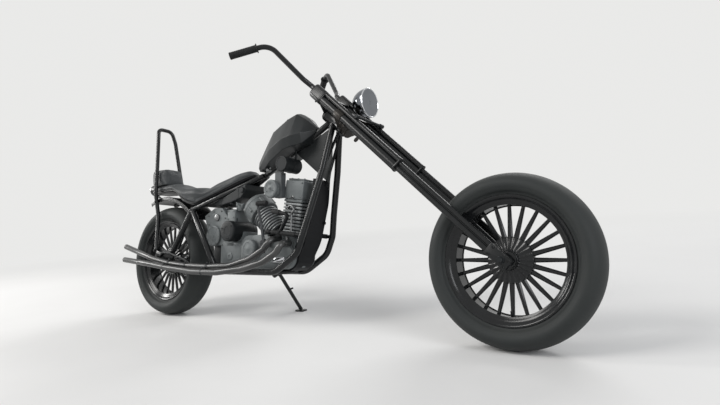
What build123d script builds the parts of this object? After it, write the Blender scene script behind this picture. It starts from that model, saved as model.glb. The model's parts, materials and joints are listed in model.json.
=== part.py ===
from build123d import *
import os
from math import atan, cos, hypot, radians, sin

os.makedirs("parts", exist_ok=True)

# Long-fork chopper motorcycle, in millimetres: x forward, y to the rider's left, z up.
# It is drawn upright over the rear tyre's contact point and parked at the end.
lean = 8
running_fit = 0.05
seat_gap = 0.3
tight_gap = 0.1

# Wheels and tyres, the same at both ends
tyre_radius = 330
tyre_half_width = 80
tyre_height = 93
tyre_bead_height = 30
rim_half_width = 53
rim_flange_height = 6
rim_flange_width = 4
rim_depth = 30
rim_inner_half_width = 36
spoke_count = 24
spoke_root_width = 19
spoke_tip_width = 13
spoke_thickness = 14
hub_disc_radius = 87
hub_disc_edge = 13
hub_boss_radius = 36
hub_boss_half = 40
hub_cone_half = 25
axle_radius = 10

# Fork: distances run up the fork from the neck's foot, offsets run forward and up from the axle's line.
# Neck height, slope and tyre radius give the fork its length and the machine its wheelbase, 2125.
neck_foot_x = 1345
neck_foot_z = 953
fork_slope = 42.4
fork_half_spacing = 98
lower_tubes = ((-10, 24), (13, 20))
lower_tube_start = 50
fork_end_length = 100
fork_end_width = 46
fork_end_thickness = 27
fork_end_corner = 5
fork_end_centre = 18
cover_low = -414
cover_high = 139
upper_covers = ((-10.5, 41), (21, 24))
cap_length = 82
cap_circles = ((-14, 48), (19, 30))
cap_rounding = 10
axle_nut_radius = 15
axle_nut_width = 12
axle_collar_radius = 16

# Steering
steering_offset = -66
neck_length = 146
neck_diameter = 74
neck_cup_diameter = 80
neck_cup_length = 18
stem_diameter = 30
stem_collar_diameter = 54
lower_tree_low = -80
lower_tree_thickness = 52
upper_tree_thickness = 12
tree_leg_radius = 24
tree_stem_radius = 30
upper_tree_radius = 22
bar_diameter = 25.4
bar_root_offset = 4
bar_root_length = 24
grip_diameter = 36
grip_flange_diameter = 46
grip_flange_width = 5
grip_start_share = 0.3
# Bends and end of each bar: back from its cap, out from the fork leg and up from its cap
bar_points = ((43, 34, 46), (190, 126, 226), (335, 241, 164))
bar_bends = (26, 60, 80)

# Headlight
lamp_ahead = -4
lamp_height = 91
lamp_radius = 70
lamp_depth = 83
lamp_wall = 3
lamp_rim = 6
lamp_bracket_low = -91
lamp_bracket_diameter = 14
lamp_post_diameter = 12

# Frame tubes
frame_tube = 32
chain_frame_gap = 1.2
# Upper end of the backbone, back from and above the foot of the neck
backbone_top = (83, 58)
backbone_rear = (803, 0, 782)
seat_corner_x = 325
seat_corner_z = 617
seat_rail_tube = 28
bottom_rail_z = 270
bottom_rail_front_x = 1000
bottom_rail_rear_x = 556
# Upper end of the downtubes, back from and above the foot of the neck
downtube_top = (59, 32)
downtube_top_y = 26
downtube_points = ((1249, 59, 762), (1200, 93, 555))
knee_x = 1176
knee_z = 448
shin_x = 1140
shin_z = 358
cradle_bends = (200, 200, 100, 90, 120, 200)
axle_plate_thickness = 10
stay_end_x = 60
stay_end_z = 322
gusset_thickness = 5
gusset_outline = ((1262, 982), (1028, 877), (1246, 700), (1262, 800))
stay_foot_x = 141
stay_foot_z = 362
post_drop = 9
cross_tube = 25
cross_tube_front_x = 960
cross_tube_rear_x = 640

# Chin panel between the downtubes
panel_outline = ((1203, 722), (1196, 611), (1150, 421), (1108, 349), (1102, 318), (1080, 292), (1050, 276))
panel_thickness = 6
panel_half_width = 58
panel_tube = 14
panel_tube_top = (39, 9, -9)
panel_tube_foot_y = 36

# Rear end
fender_gap = 53
fender_thickness = 5
fender_half_width = 84
fender_front_angle = 38
fender_rear_angle = 112
sissy_tube = 24
sissy_jog = (-35, 600)
sissy_fender_top = (-77, 745)
sissy_points = ((-104, 80, 925), (-135, 62, 1105), (-160, 47, 1183))
sissy_bends = (120, 120, 200, 200, 35)
sissy_foot_x = 11
sissy_foot_z = 388

# Seat and backrest. Sections: x, bottom z, its half width, side z, its half width, shoulder z, its half
# width, top z. A bottom of 0 means that it lies on the seat rails.
seat_sections = (
    (742, 0, 22, 783, 28, 789, 22, 792),
    (705, 0, 42, 792, 54, 812, 44, 820),
    (650, 0, 58, 785, 72, 801, 60, 813),
    (575, 0, 70, 758, 86, 779, 74, 794),
    (481, 0, 88, 728, 106, 752, 92, 769),
    (410, 0, 104, 704, 126, 724, 110, 742),
    (345, 0, 118, 712, 146, 738, 130, 748),
    (236, 672, 118, 718, 146, 744, 128, 752),
    (140, 731, 100, 750, 122, 772, 108, 778),
    (60, 745, 90, 768, 102, 793, 92, 798),
    (-165, 748, 58, 770, 67, 797, 60, 800),
)
seat_rail_clearance = 0.5
backrest_side = ((-10, 795), (-55, 905), (-185, 905), (-165, 795))
backrest_foot_half_width = 74
backrest_top_half_width = 56
seat_pad_top = 800
backrest_top = 905

# Fuel tank, its sections given as the seat's are
tank_sections = (
    (800, 799, 40, 815, 50, 850, 46, 857),
    (861, 806, 66, 850, 78, 921, 58, 930),
    (914, 834, 84, 890, 97, 995, 60, 1004),
    (1016, 880, 98, 932, 111, 1047, 60, 1058),
    (1068, 893, 92, 945, 106, 1068, 50, 1077),
    (1122, 906, 70, 955, 84, 1034, 38, 1043),
    (1172, 966, 18, 976, 22, 988, 12, 993),
)
tunnel_half_width = 24
cap_radius = 26
cap_height = 16
cap_spot = (985, 1048)

# Engine
cylinder_radius = 68
core_radius = 48
fin_count = 9
fin_thickness = 5
fin_pitch = 17
core_depth = 30
# Each cylinder: name, tilt forward, middle of its foot (x, z), half length, height and rounding of its head
cylinders = (("front", 8, 1045, 465, 62, 118, 6), ("rear", -49, 918, 470, 96, 102, 40))
case_x = (705, 1096)
case_z = (282.8, 462)
case_rounding = 60
case_half_width = 80
gearbox_x = (540, 704)
gearbox_z = (282.8, 425)
gearbox_half_width = 75
# Upper case seen from the side, the step in front of it and the round end of its shaft
upper_case_outline = ((412, 500), (384, 580), (470, 621), (537, 619), (586, 566), (592, 410), (500, 410))
step_x = (585, 650)
step_z = (400, 604)
shaft_end_x = 478
shaft_end_z = 464
shaft_end_radius = 58
cover_radius = 48
cover_depth = 34
cover_x = 800
cover_z = 388
starter_radius = 56
starter_x = 646
starter_z = 484
starter_y = (-125, 45)
canister_radius = 38
canister_x = 1038
canister_z = 804
canister_y = (-125, -10)
hanger_y = -17
hanger_length = 90
hanger_diameter = 12
cleaner_radius = 46
cleaner_x = 958
cleaner_z = 686
intake_x = (966, 1012)
intake_z = (638, 770)
intake_y = (-95, -60)

# Oil tank under the seat rails: its lower outline and half width
oil_tank_outline = ((724, 706), (690, 664), (609, 643), (520, 632), (462, 636))
oil_tank_half_width = 72

# Foot rest bars on both sides, back from and above the knee of the cradle, and the pedal on the right one
foot_bar_front = (6, -2)
foot_bar_rear = (240, 24)
foot_bar_diameter = 18
foot_bar_stub = (222, 6)
pedal_points = ((142, 18), (88, 101), (195, 123))
pedal_diameter = 13
pedal_bends = (14,)

# Kick lever on the right of the case: its shaft, arm and folded pedal
kick_shaft = (924, 408)
kick_knee = (913, 470)
kick_top = (872, 615)
kick_reach = 40
kick_hub_radius = 22
kick_shaft_radius = 11
kick_arm_diameter = 11
kick_pad_diameter = 20
kick_pad_length = 72

# Tail lamp behind the backrest, held by the fender
tail_lamp_x = (-246, -200)
tail_lamp_z = 786
tail_lamp_radius = 36
tail_bracket_angle = 17
tail_bracket_diameter = 14

# Exhaust pipes, right side
pipe_diameter = 32
pipe_bend = 160
# Each pipe: node name, how far out it runs (y), its port on the case (x, z), then its run (x, z) to the tail
exhausts = (
    ("rear_exhaust", -165, (1000, 440), (
        (1012, 425), (968, 380), (872, 334), (724, 300), (550, 294), (377, 298), (205, 311), (53, 335), (-265, 413),
    )),
    ("front_exhaust", -200, (1064, 412), (
        (1122, 405), (1090, 364), (1003, 319), (854, 286), (665, 267), (472, 268), (228, 288), (26, 310), (-212, 332),
    )),
)
port_bend = 30

# Side stand, left side
stand_pivot_x = 760
stand_pivot_z = 262
stand_pivot_gap = 22
stand_foot_x = 800
stand_foot_y = 300
stand_axis_tilt = 27
stand_leg_diameter = 20
stand_pin_diameter = 14
stand_eye_diameter = 34
stand_eye_width = 26
stand_pad = (64, 46, 8)

# Final drive, left side
tyre_chain_gap = 5.8
chain_width = 11
sprocket_radius = 100
sprocket_width = 6
chain_gap = 5
chain_height = 12
drive_sprocket_radius = 34
drive_x = 640
drive_z = 396

left = 1
right = -1
sides = (("left", left), ("right", right))
tyre_section_half = tyre_height / 2
rim_lip_radius = tyre_radius - tyre_height
rim_inner_radius = rim_lip_radius - rim_depth
chain_y = tyre_half_width + tyre_chain_gap + chain_width / 2
frame_half_width = chain_y + chain_width / 2 + chain_frame_gap + frame_tube / 2
stand_pivot = (stand_pivot_x, frame_half_width + frame_tube / 2 + stand_pivot_gap, stand_pivot_z)
fork_angle = radians(fork_slope)
neck_start = (neck_foot_z - tyre_radius - steering_offset * cos(fork_angle)) / sin(fork_angle)
neck_end = neck_start + neck_length
cover_start = neck_start + cover_low
cover_end = neck_start + cover_high
lower_tree_start = neck_start + lower_tree_low
wheelbase = neck_foot_x + neck_start * cos(fork_angle) - steering_offset * sin(fork_angle)
front_hub = (wheelbase, 0, tyre_radius)
rear_hub = (0, 0, tyre_radius)
backbone_front = (neck_foot_x - backbone_top[0], 0, neck_foot_z + backbone_top[1])
along_fork = (-cos(radians(fork_slope)), 0, sin(radians(fork_slope)))
off_fork = (sin(radians(fork_slope)), 0, cos(radians(fork_slope)))
fork_frame = Plane(origin=front_hub, x_dir=off_fork, z_dir=along_fork)


def fork_point(distance, offset, y=0):
    """Point at this distance up the fork, this offset forward of its line."""
    return Vector(front_hub) + Vector(along_fork) * distance + Vector(off_fork) * offset + Vector(0, y, 0)


def rod(points, diameter, bends=None):
    """Round bar along straight runs that arcs join."""
    with BuildPart() as bar:
        with BuildLine():
            if bends is None:
                route = Line(*points)
            else:
                route = FilletPolyline(*points, radius=bends)
        with BuildSketch(Plane(origin=route @ 0, z_dir=route % 0)):
            Circle(diameter / 2)
        sweep()
    return bar.part


def side_prism(outline, y_low, y_high):
    """Solid with this outline seen from the side, (x, z) points, between two y planes."""
    with BuildPart() as prism:
        with BuildSketch(Plane.XZ.offset(-y_high)):
            with BuildLine():
                Polyline(*outline, close=True)
            make_face()
        extrude(amount=y_high - y_low)
    return prism.part


def front_prism(half_outline, x_low, x_high):
    """Solid with this half outline seen from the front, (half width, z) points, mirrored."""
    other_half = [(-y, z) for y, z in reversed(half_outline)]
    with BuildPart() as prism:
        with BuildSketch(Plane.YZ.offset(x_low)):
            with BuildLine():
                Polyline(*half_outline, *other_half, close=True)
            make_face()
        extrude(amount=x_high - x_low)
    return prism.part


def cross_cylinder(x, z, radius, y_low, y_high):
    """Cylinder whose axis runs across the machine."""
    with BuildPart() as cylinder:
        with BuildSketch(Plane.XZ.offset(-y_high)):
            with Locations((x, z)):
                Circle(radius)
        extrude(amount=y_high - y_low)
    return cylinder.part


def block(x_span, y_span, z_span, rounding=0):
    """Plain block between the given planes, its long edges along y rounded."""
    with BuildPart() as body:
        with BuildSketch(Plane.XZ.offset(-y_span[1])):
            with Locations(((x_span[0] + x_span[1]) / 2, (z_span[0] + z_span[1]) / 2)):
                if rounding:
                    RectangleRounded(x_span[1] - x_span[0], z_span[1] - z_span[0], rounding)
                else:
                    Rectangle(x_span[1] - x_span[0], z_span[1] - z_span[0])
        extrude(amount=y_span[1] - y_span[0])
    return body.part


def section_loft(sections, floor):
    """Solid through cross sections that mirror about the middle, its sides straight between them."""
    with BuildPart() as body:
        for x, bottom, bottom_half, side, side_half, shoulder, shoulder_half, top in sections:
            if not bottom:
                bottom = floor(x)
            half = ((bottom_half, bottom), (side_half, side), (shoulder_half, shoulder), (shoulder_half / 3, top))
            with BuildSketch(Plane.YZ.offset(x)):
                with BuildLine():
                    Polyline(*half, *[(-y, z) for y, z in reversed(half)], close=True)
                make_face()
        loft(ruled=True)
    return body.part


assembly = []

# Tyres, rims with blade spokes, and hubs
tyre_section_radius = tyre_radius - tyre_section_half
bead_radius = rim_lip_radius + seat_gap
flange_y = rim_half_width + seat_gap
hub_bore = axle_radius + running_fit
rim_half_section = (
    (0, rim_lip_radius),
    (flange_y, rim_lip_radius),
    (flange_y, rim_lip_radius + rim_flange_height),
    (flange_y + rim_flange_width, rim_lip_radius + rim_flange_height),
    (flange_y + rim_flange_width, rim_lip_radius),
    (rim_half_width - 3, rim_lip_radius - 8),
    (rim_inner_half_width, rim_inner_radius),
    (0, rim_inner_radius),
)
hub_half_section = (
    (0, hub_bore),
    (hub_boss_half, hub_bore),
    (hub_boss_half, hub_boss_radius),
    (hub_cone_half, hub_boss_radius),
    (hub_disc_edge, hub_disc_radius),
    (0, hub_disc_radius),
)
sprocket_low_y = chain_y - sprocket_width / 2
carrier_section = (
    (hub_boss_half, hub_bore),
    (sprocket_low_y + sprocket_width, hub_bore),
    (sprocket_low_y + sprocket_width, hub_boss_radius),
    (hub_boss_half, hub_boss_radius),
)
for end, hub in (("front", front_hub), ("rear", rear_hub)):
    section_plane = Plane(origin=hub, x_dir=(0, 1, 0), z_dir=(1, 0, 0))
    wheel_axis = Axis(hub, (0, 1, 0))
    with BuildPart() as tyre:
        with BuildSketch(section_plane):
            with Locations((0, tyre_section_radius)):
                Ellipse(tyre_half_width, tyre_section_half)
            with Locations((0, bead_radius)):
                Rectangle(2 * rim_half_width, tyre_bead_height, align=(Align.CENTER, Align.MIN))
                Rectangle(
                    2 * tyre_half_width, tyre_bead_height, align=(Align.CENTER, Align.MAX), mode=Mode.SUBTRACT
                )
        revolve(axis=wheel_axis)
    tyre.part.label = f"{end}_tyre"
    assembly.append(tyre.part)

    with BuildPart() as wheel:
        for half_section in (rim_half_section, hub_half_section):
            with BuildSketch(section_plane):
                with BuildLine():
                    Polyline(*half_section, *[(-y, r) for y, r in reversed(half_section[1:-1])], close=True)
                make_face()
            revolve(axis=wheel_axis)
        with BuildSketch(Plane(origin=hub, x_dir=(1, 0, 0), z_dir=(0, -1, 0))):
            with PolarLocations(0, spoke_count):
                Polygon(
                    (hub_disc_radius - 6, -spoke_root_width / 2),
                    (rim_inner_radius + 4, -spoke_tip_width / 2),
                    (rim_inner_radius + 4, spoke_tip_width / 2),
                    (hub_disc_radius - 6, spoke_root_width / 2),
                    align=None,
                )
        extrude(amount=spoke_thickness / 2, both=True)
        if end == "rear":
            with BuildSketch(section_plane):
                with BuildLine():
                    Polyline(*carrier_section, close=True)
                make_face()
            revolve(axis=wheel_axis)
            add(cross_cylinder(0, tyre_radius, sprocket_radius, sprocket_low_y, sprocket_low_y + sprocket_width))
            add(
                cross_cylinder(0, tyre_radius, hub_bore, sprocket_low_y, sprocket_low_y + sprocket_width),
                mode=Mode.SUBTRACT,
            )
    wheel.part.label = f"{end}_wheel"
    assembly.append(wheel.part)

# Fork legs with their round end pieces, and the upper covers with caps
covers = {}
for side, sign in sides:
    leg_y = sign * fork_half_spacing
    with BuildPart() as fork_leg:
        with BuildSketch(fork_frame.offset(lower_tube_start)):
            for offset, diameter in lower_tubes:
                with Locations((offset, leg_y)):
                    Circle(diameter / 2)
        extrude(amount=cover_start - lower_tube_start)
        with BuildSketch(Plane(origin=(wheelbase, leg_y, tyre_radius), x_dir=along_fork, z_dir=(0, 1, 0))):
            with Locations((fork_end_centre, 0)):
                RectangleRounded(fork_end_length, fork_end_width, fork_end_corner)
        extrude(amount=fork_end_thickness / 2, both=True)
        with BuildSketch(Plane(origin=(wheelbase, leg_y, tyre_radius), x_dir=along_fork, z_dir=(0, 1, 0))):
            Circle(axle_radius + running_fit)
        extrude(amount=fork_end_thickness, both=True, mode=Mode.SUBTRACT)
    fork_leg.part.label = f"fork_leg_{side}"
    assembly.append(fork_leg.part)

    with BuildPart() as fork_cover:
        with BuildSketch(fork_frame.offset(cover_end)):
            for offset, diameter in cap_circles:
                with Locations((offset, leg_y)):
                    Circle(diameter / 2)
            make_hull()
        extrude(amount=cap_length)
        fillet(fork_cover.faces().sort_by(Axis(front_hub, along_fork))[-1].edges(), cap_rounding)
        with BuildSketch(fork_frame.offset(cover_start)):
            for offset, diameter in upper_covers:
                with Locations((offset, leg_y)):
                    Circle(diameter / 2)
        extrude(amount=cover_end - cover_start)
    fork_cover.part.label = f"fork_cover_{side}"
    covers[side] = fork_cover.part
    assembly.append(fork_cover.part)

# Front axle with collars and nuts
leg_inner = fork_half_spacing - fork_end_thickness / 2
leg_outer = fork_half_spacing + fork_end_thickness / 2
with BuildPart() as front_axle:
    add(cross_cylinder(wheelbase, tyre_radius, axle_radius, -leg_outer, leg_outer))
    for sign in (left, right):
        spans = (
            (hub_boss_half + 0.5, leg_inner, axle_collar_radius),
            (leg_outer, leg_outer + axle_nut_width, axle_nut_radius),
        )
        for inner, outer, radius in spans:
            low, high = sorted((sign * inner, sign * outer))
            add(cross_cylinder(wheelbase, tyre_radius, radius, low, high))
front_axle.part.label = "front_axle"
assembly.append(front_axle.part)

# Rear axle between the frame's axle plates
plate_inner = frame_half_width - axle_plate_thickness / 2
plate_outer = frame_half_width + axle_plate_thickness / 2
with BuildPart() as rear_axle:
    add(cross_cylinder(0, tyre_radius, axle_radius, -plate_outer, plate_outer))
    spans = (
        (-plate_outer - axle_nut_width, -plate_outer, axle_nut_radius),
        (-plate_inner, -hub_boss_half - 0.5, axle_collar_radius),
        (sprocket_low_y + sprocket_width + 0.5, plate_inner, axle_collar_radius),
        (plate_outer, plate_outer + axle_nut_width, axle_nut_radius),
    )
    for low, high, radius in spans:
        add(cross_cylinder(0, tyre_radius, radius, low, high))
rear_axle.part.label = "rear_axle"
assembly.append(rear_axle.part)

# Steering neck with bearing cups, and the stem with its lower tree
stem_bore = stem_diameter + 2 * running_fit
with BuildPart() as steering_neck:
    with BuildSketch(fork_frame.offset(neck_start)):
        with Locations((steering_offset, 0)):
            Circle(neck_diameter / 2)
            Circle(stem_bore / 2, mode=Mode.SUBTRACT)
    extrude(amount=neck_end - neck_start)
    for cup_start in (neck_start, neck_end - neck_cup_length):
        with BuildSketch(fork_frame.offset(cup_start)):
            with Locations((steering_offset, 0)):
                Circle(neck_cup_diameter / 2)
                Circle(stem_bore / 2, mode=Mode.SUBTRACT)
        extrude(amount=neck_cup_length)
steering_neck.part.label = "steering_neck"
assembly.append(steering_neck.part)
neck_space = rod((fork_point(neck_start, steering_offset), fork_point(neck_end, steering_offset)), neck_diameter)

upper_tree_start = neck_end + seat_gap
leg_offset = upper_covers[0][0]
with BuildPart() as upper_tree:
    with BuildSketch(fork_frame.offset(upper_tree_start)):
        with Locations((leg_offset, fork_half_spacing), (leg_offset, -fork_half_spacing)):
            Circle(upper_tree_radius)
        with Locations((steering_offset, 0)):
            Circle(upper_tree_radius)
        make_hull()
        with Locations((steering_offset, 0)):
            Circle(stem_bore / 2, mode=Mode.SUBTRACT)
    extrude(amount=upper_tree_thickness)
    add(list(covers.values()), mode=Mode.SUBTRACT)
upper_tree.part.label = "upper_tree"
assembly.append(upper_tree.part)

with BuildPart() as lower_tree:
    with BuildSketch(fork_frame.offset(lower_tree_start)):
        with Locations((leg_offset, fork_half_spacing), (leg_offset, -fork_half_spacing)):
            Circle(tree_leg_radius)
        with Locations((steering_offset, 0)):
            Circle(tree_stem_radius)
        make_hull()
    extrude(amount=lower_tree_thickness)
    add(list(covers.values()), mode=Mode.SUBTRACT)
    with BuildSketch(fork_frame.offset(lower_tree_start)):
        with Locations((steering_offset, 0)):
            Circle(stem_collar_diameter / 2)
    extrude(amount=neck_start - seat_gap - lower_tree_start)
    with BuildSketch(fork_frame.offset(lower_tree_start)):
        with Locations((steering_offset, 0)):
            Circle(stem_diameter / 2)
    extrude(amount=upper_tree_start + upper_tree_thickness - lower_tree_start)
lower_tree.part.label = "lower_tree"
assembly.append(lower_tree.part)

# Handlebars and grips, one bent bar out of each cap
bar_parts = []
grip_parts = []
for side, sign in sides:
    leg_y = sign * fork_half_spacing
    cap_top = cover_end + cap_length
    bar_root = fork_point(cap_top, bar_root_offset, leg_y)
    points = [bar_root, fork_point(cap_top + bar_root_length, bar_root_offset, leg_y)]
    points += [bar_root + Vector(-back, sign * out, rise) for back, out, rise in bar_points]
    bar_parts.append(rod(points, bar_diameter, bar_bends))
    grip_run = points[-1] - points[-2]
    grip_start = points[-2] + grip_run * grip_start_share
    flange_end = grip_start + grip_run.normalized() * grip_flange_width
    grip_end = points[-1] + grip_run.normalized() * grip_flange_width
    with BuildPart() as grip:
        add(rod((grip_start, grip_end), grip_diameter))
        add(rod((grip_start, flange_end), grip_flange_diameter))
        add(bar_parts[-1], mode=Mode.SUBTRACT)
    grip_parts.append(grip.part)
with BuildPart() as handlebars:
    add(bar_parts)
handlebars.part.label = "handlebars"
assembly.append(handlebars.part)
with BuildPart() as grips:
    add(grip_parts)
grips.part.label = "grips"
assembly.append(grips.part)

# Headlight bowl, lens and bracket
bracket_offset = upper_covers[1][0] + upper_covers[1][1] / 2 + lamp_bracket_diameter / 2 + seat_gap
bracket_centre = fork_point(neck_start + lamp_bracket_low, bracket_offset)
lamp_x = bracket_centre.X + lamp_ahead
lamp_z = bracket_centre.Z + lamp_height
lamp_centre = (lamp_x, 0, lamp_z)
lamp_plane = Plane(origin=lamp_centre, x_dir=(1, 0, 0), z_dir=(0, -1, 0))
with BuildPart() as headlight_shell:
    with BuildSketch(lamp_plane):
        Ellipse(lamp_depth, lamp_radius)
        Ellipse(lamp_depth - lamp_wall, lamp_radius - lamp_wall, mode=Mode.SUBTRACT)
        Rectangle(2 * lamp_depth, 2 * lamp_depth, align=(Align.MIN, Align.CENTER), mode=Mode.SUBTRACT)
        Rectangle(2 * lamp_depth, 2 * lamp_depth, align=(Align.CENTER, Align.MAX), mode=Mode.SUBTRACT)
        with Locations((0, lamp_radius)):
            Rectangle(lamp_rim, lamp_wall, align=(Align.MIN, Align.MAX))
    revolve(axis=Axis(lamp_centre, (1, 0, 0)))
headlight_shell.part.label = "headlight_shell"
assembly.append(headlight_shell.part)

with BuildPart() as headlight_lens:
    with BuildSketch(Plane(origin=lamp_centre, z_dir=(1, 0, 0))):
        Circle(lamp_radius - lamp_wall - tight_gap)
    extrude(amount=lamp_rim - 1)
headlight_lens.part.label = "headlight_lens"
assembly.append(headlight_lens.part)

bracket_radius = lamp_bracket_diameter / 2
with BuildPart() as headlight_bracket:
    add(cross_cylinder(
        bracket_centre.X, bracket_centre.Z, bracket_radius, -fork_half_spacing, fork_half_spacing
    ))
    add(rod((bracket_centre, (lamp_x - bracket_radius, 0, lamp_z - lamp_radius - 0.8)), lamp_post_diameter))
    add(headlight_shell.part, mode=Mode.SUBTRACT)
headlight_bracket.part.label = "headlight_bracket"
assembly.append(headlight_bracket.part)

# Frame: backbone, gusset, cradles, seat rails, seat posts and upper stays
with BuildPart() as backbone:
    add(rod((backbone_front, backbone_rear), frame_tube))
    add(neck_space, mode=Mode.SUBTRACT)
backbone.part.label = "backbone"
assembly.append(backbone.part)

cradles = {}
hinge_tilt = radians(stand_axis_tilt)
hinge_axis = Vector(0, cos(hinge_tilt), sin(hinge_tilt))
stand_hinge = Vector(*stand_pivot)
for side, sign in sides:
    rail_y = sign * frame_half_width
    route = [(neck_foot_x - downtube_top[0], sign * downtube_top_y, neck_foot_z + downtube_top[1])]
    route += [(x, sign * y, z) for x, y, z in downtube_points]
    route += [
        (knee_x, rail_y, knee_z),
        (shin_x, rail_y, shin_z),
        (bottom_rail_front_x, rail_y, bottom_rail_z),
        (bottom_rail_rear_x, rail_y, bottom_rail_z),
        (stay_end_x, rail_y, stay_end_z),
    ]
    with BuildPart() as cradle:
        add(rod(route, frame_tube, cradle_bends))
        add(neck_space, mode=Mode.SUBTRACT)
        with BuildSketch(Plane.XZ.offset(-rail_y - axle_plate_thickness / 2)):
            with Locations((0, tyre_radius)):
                Circle(30)
            with Locations((stay_foot_x, stay_foot_z - 10)):
                Circle(24)
            with Locations((sissy_foot_x, sissy_foot_z)):
                Circle(16)
            make_hull()
            with Locations((0, tyre_radius)):
                Circle(axle_radius + running_fit, mode=Mode.SUBTRACT)
        extrude(amount=axle_plate_thickness)
        if sign == left:
            pin_root = stand_hinge - hinge_axis * 40
            pin_tip = stand_hinge + hinge_axis * (stand_eye_width / 2 + 3)
            collar_tip = stand_hinge - hinge_axis * (stand_eye_width / 2 + running_fit)
            add(rod((pin_root, pin_tip), stand_pin_diameter))
            add(rod((pin_root, collar_tip), stand_eye_diameter - 6))
    cradle.part.label = f"cradle_{side}"
    cradles[side] = cradle.part
    assembly.append(cradle.part)

with BuildPart() as neck_gusset:
    add(side_prism(gusset_outline, -gusset_thickness / 2, gusset_thickness / 2))
    add([neck_space, backbone.part, *cradles.values()], mode=Mode.SUBTRACT)
neck_gusset.part.label = "neck_gusset"
assembly.append(neck_gusset.part)

with BuildPart() as cross_tubes:
    for x in (cross_tube_front_x, cross_tube_rear_x):
        add(cross_cylinder(x, bottom_rail_z, cross_tube / 2, -frame_half_width, frame_half_width))
    add(list(cradles.values()), mode=Mode.SUBTRACT)
cross_tubes.part.label = "cross_tubes"
assembly.append(cross_tubes.part)

with BuildPart() as seat_rails:
    for side, sign in sides:
        corner = (seat_corner_x, sign * frame_half_width, seat_corner_z)
        add(rod(((backbone_rear[0], sign * 12, backbone_rear[2]), corner), seat_rail_tube))
    add(backbone.part, mode=Mode.SUBTRACT)
seat_rails.part.label = "seat_rails"
assembly.append(seat_rails.part)

with BuildPart() as upper_stays:
    for side, sign in sides:
        corner = (seat_corner_x, sign * frame_half_width, seat_corner_z)
        foot = (stay_foot_x, sign * frame_half_width, stay_foot_z)
        add(rod((corner, foot), frame_tube))
    add([seat_rails.part, *cradles.values()], mode=Mode.SUBTRACT)
upper_stays.part.label = "upper_stays"
assembly.append(upper_stays.part)

with BuildPart() as seat_posts:
    for side, sign in sides:
        corner = Vector(seat_corner_x, sign * frame_half_width, seat_corner_z)
        foot = Vector(bottom_rail_rear_x, sign * frame_half_width, bottom_rail_z + 4)
        add(rod((corner + (foot - corner).normalized() * post_drop, foot), frame_tube))
    add([seat_rails.part, upper_stays.part, *cradles.values()], mode=Mode.SUBTRACT)
seat_posts.part.label = "seat_posts"
assembly.append(seat_posts.part)

# Chin panel with the two thin tubes that hold its top
panel_back = [(x - panel_thickness, z) for x, z in reversed(panel_outline)]
panel_top_x, panel_top_z = panel_outline[0]
with BuildPart() as chin_panel:
    add(side_prism((*panel_outline, *panel_back), -panel_half_width, panel_half_width))
    for side, sign in sides:
        top = (neck_foot_x - panel_tube_top[0], sign * panel_tube_top[1], neck_foot_z + panel_tube_top[2])
        foot = (panel_top_x - 4, sign * panel_tube_foot_y, panel_top_z - 14)
        add(rod((top, foot), panel_tube))
    add([neck_space, steering_neck.part, *cradles.values()], mode=Mode.SUBTRACT)
chin_panel.part.label = "chin_panel"
assembly.append(chin_panel.part)

# Sissy bar and rear fender
leg_foot_y = plate_outer + sissy_tube / 2
leg_fender_y = fender_half_width + fender_thickness / 2 + seat_gap + sissy_tube / 2
sissy_left = [
    (sissy_foot_x, leg_foot_y, sissy_foot_z),
    (sissy_jog[0], leg_fender_y, sissy_jog[1]),
    (sissy_fender_top[0], leg_fender_y, sissy_fender_top[1]),
    *sissy_points,
]
sissy_right = [(x, -y, z) for x, y, z in reversed(sissy_left)]
with BuildPart() as sissy_bar:
    add(rod([*sissy_left, *sissy_right], sissy_tube, (*sissy_bends, *reversed(sissy_bends))))
    add(list(cradles.values()), mode=Mode.SUBTRACT)
sissy_bar.part.label = "sissy_bar"
assembly.append(sissy_bar.part)

fender_radius = tyre_radius + fender_gap
fender_end = radians(fender_rear_angle)
fender_end_plane = Plane(origin=rear_hub, x_dir=(0, 1, 0), z_dir=(sin(fender_end), 0, -cos(fender_end)))
with BuildPart() as rear_fender:
    with BuildSketch(fender_end_plane):
        with Locations((0, fender_radius)):
            Rectangle(2 * fender_half_width, fender_thickness, align=(Align.CENTER, Align.MIN))
            with Locations((fender_half_width, 0), (-fender_half_width, 0)):
                Rectangle(fender_thickness, 25, align=(Align.CENTER, Align.MAX))
    revolve(axis=Axis(rear_hub, (0, 1, 0)), revolution_arc=fender_rear_angle - fender_front_angle)
rear_fender.part.label = "rear_fender"
assembly.append(rear_fender.part)

tail_foot = radians(tail_bracket_angle)
tail_foot_radius = fender_radius + fender_thickness
tail_root = Vector(-sin(tail_foot) * tail_foot_radius, 0, tyre_radius + cos(tail_foot) * tail_foot_radius)
with BuildPart() as tail_lamp:
    with BuildSketch(Plane.YZ.offset(tail_lamp_x[0])):
        with Locations((0, tail_lamp_z)):
            Circle(tail_lamp_radius)
    extrude(amount=tail_lamp_x[1] - tail_lamp_x[0])
    tail_elbow = ((tail_lamp_x[0] + tail_lamp_x[1]) / 2, 0, tail_lamp_z - tail_lamp_radius + 4)
    add(rod((tail_root, tail_elbow), tail_bracket_diameter))
    add(rear_fender.part, mode=Mode.SUBTRACT)
tail_lamp.part.label = "tail_lamp"
assembly.append(tail_lamp.part)


def rail_side(x, side):
    """Height just clear of the seat rails, above them for side 1 and below them for side -1."""
    slope = (backbone_rear[2] - seat_corner_z) / (backbone_rear[0] - seat_corner_x)
    clear = (seat_rail_tube / 2 + seat_rail_clearance) / cos(atan(slope))
    return seat_corner_z + slope * (x - seat_corner_x) + side * clear


def rail_top(x):
    """Height just above the seat rails."""
    return rail_side(x, 1)


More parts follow.
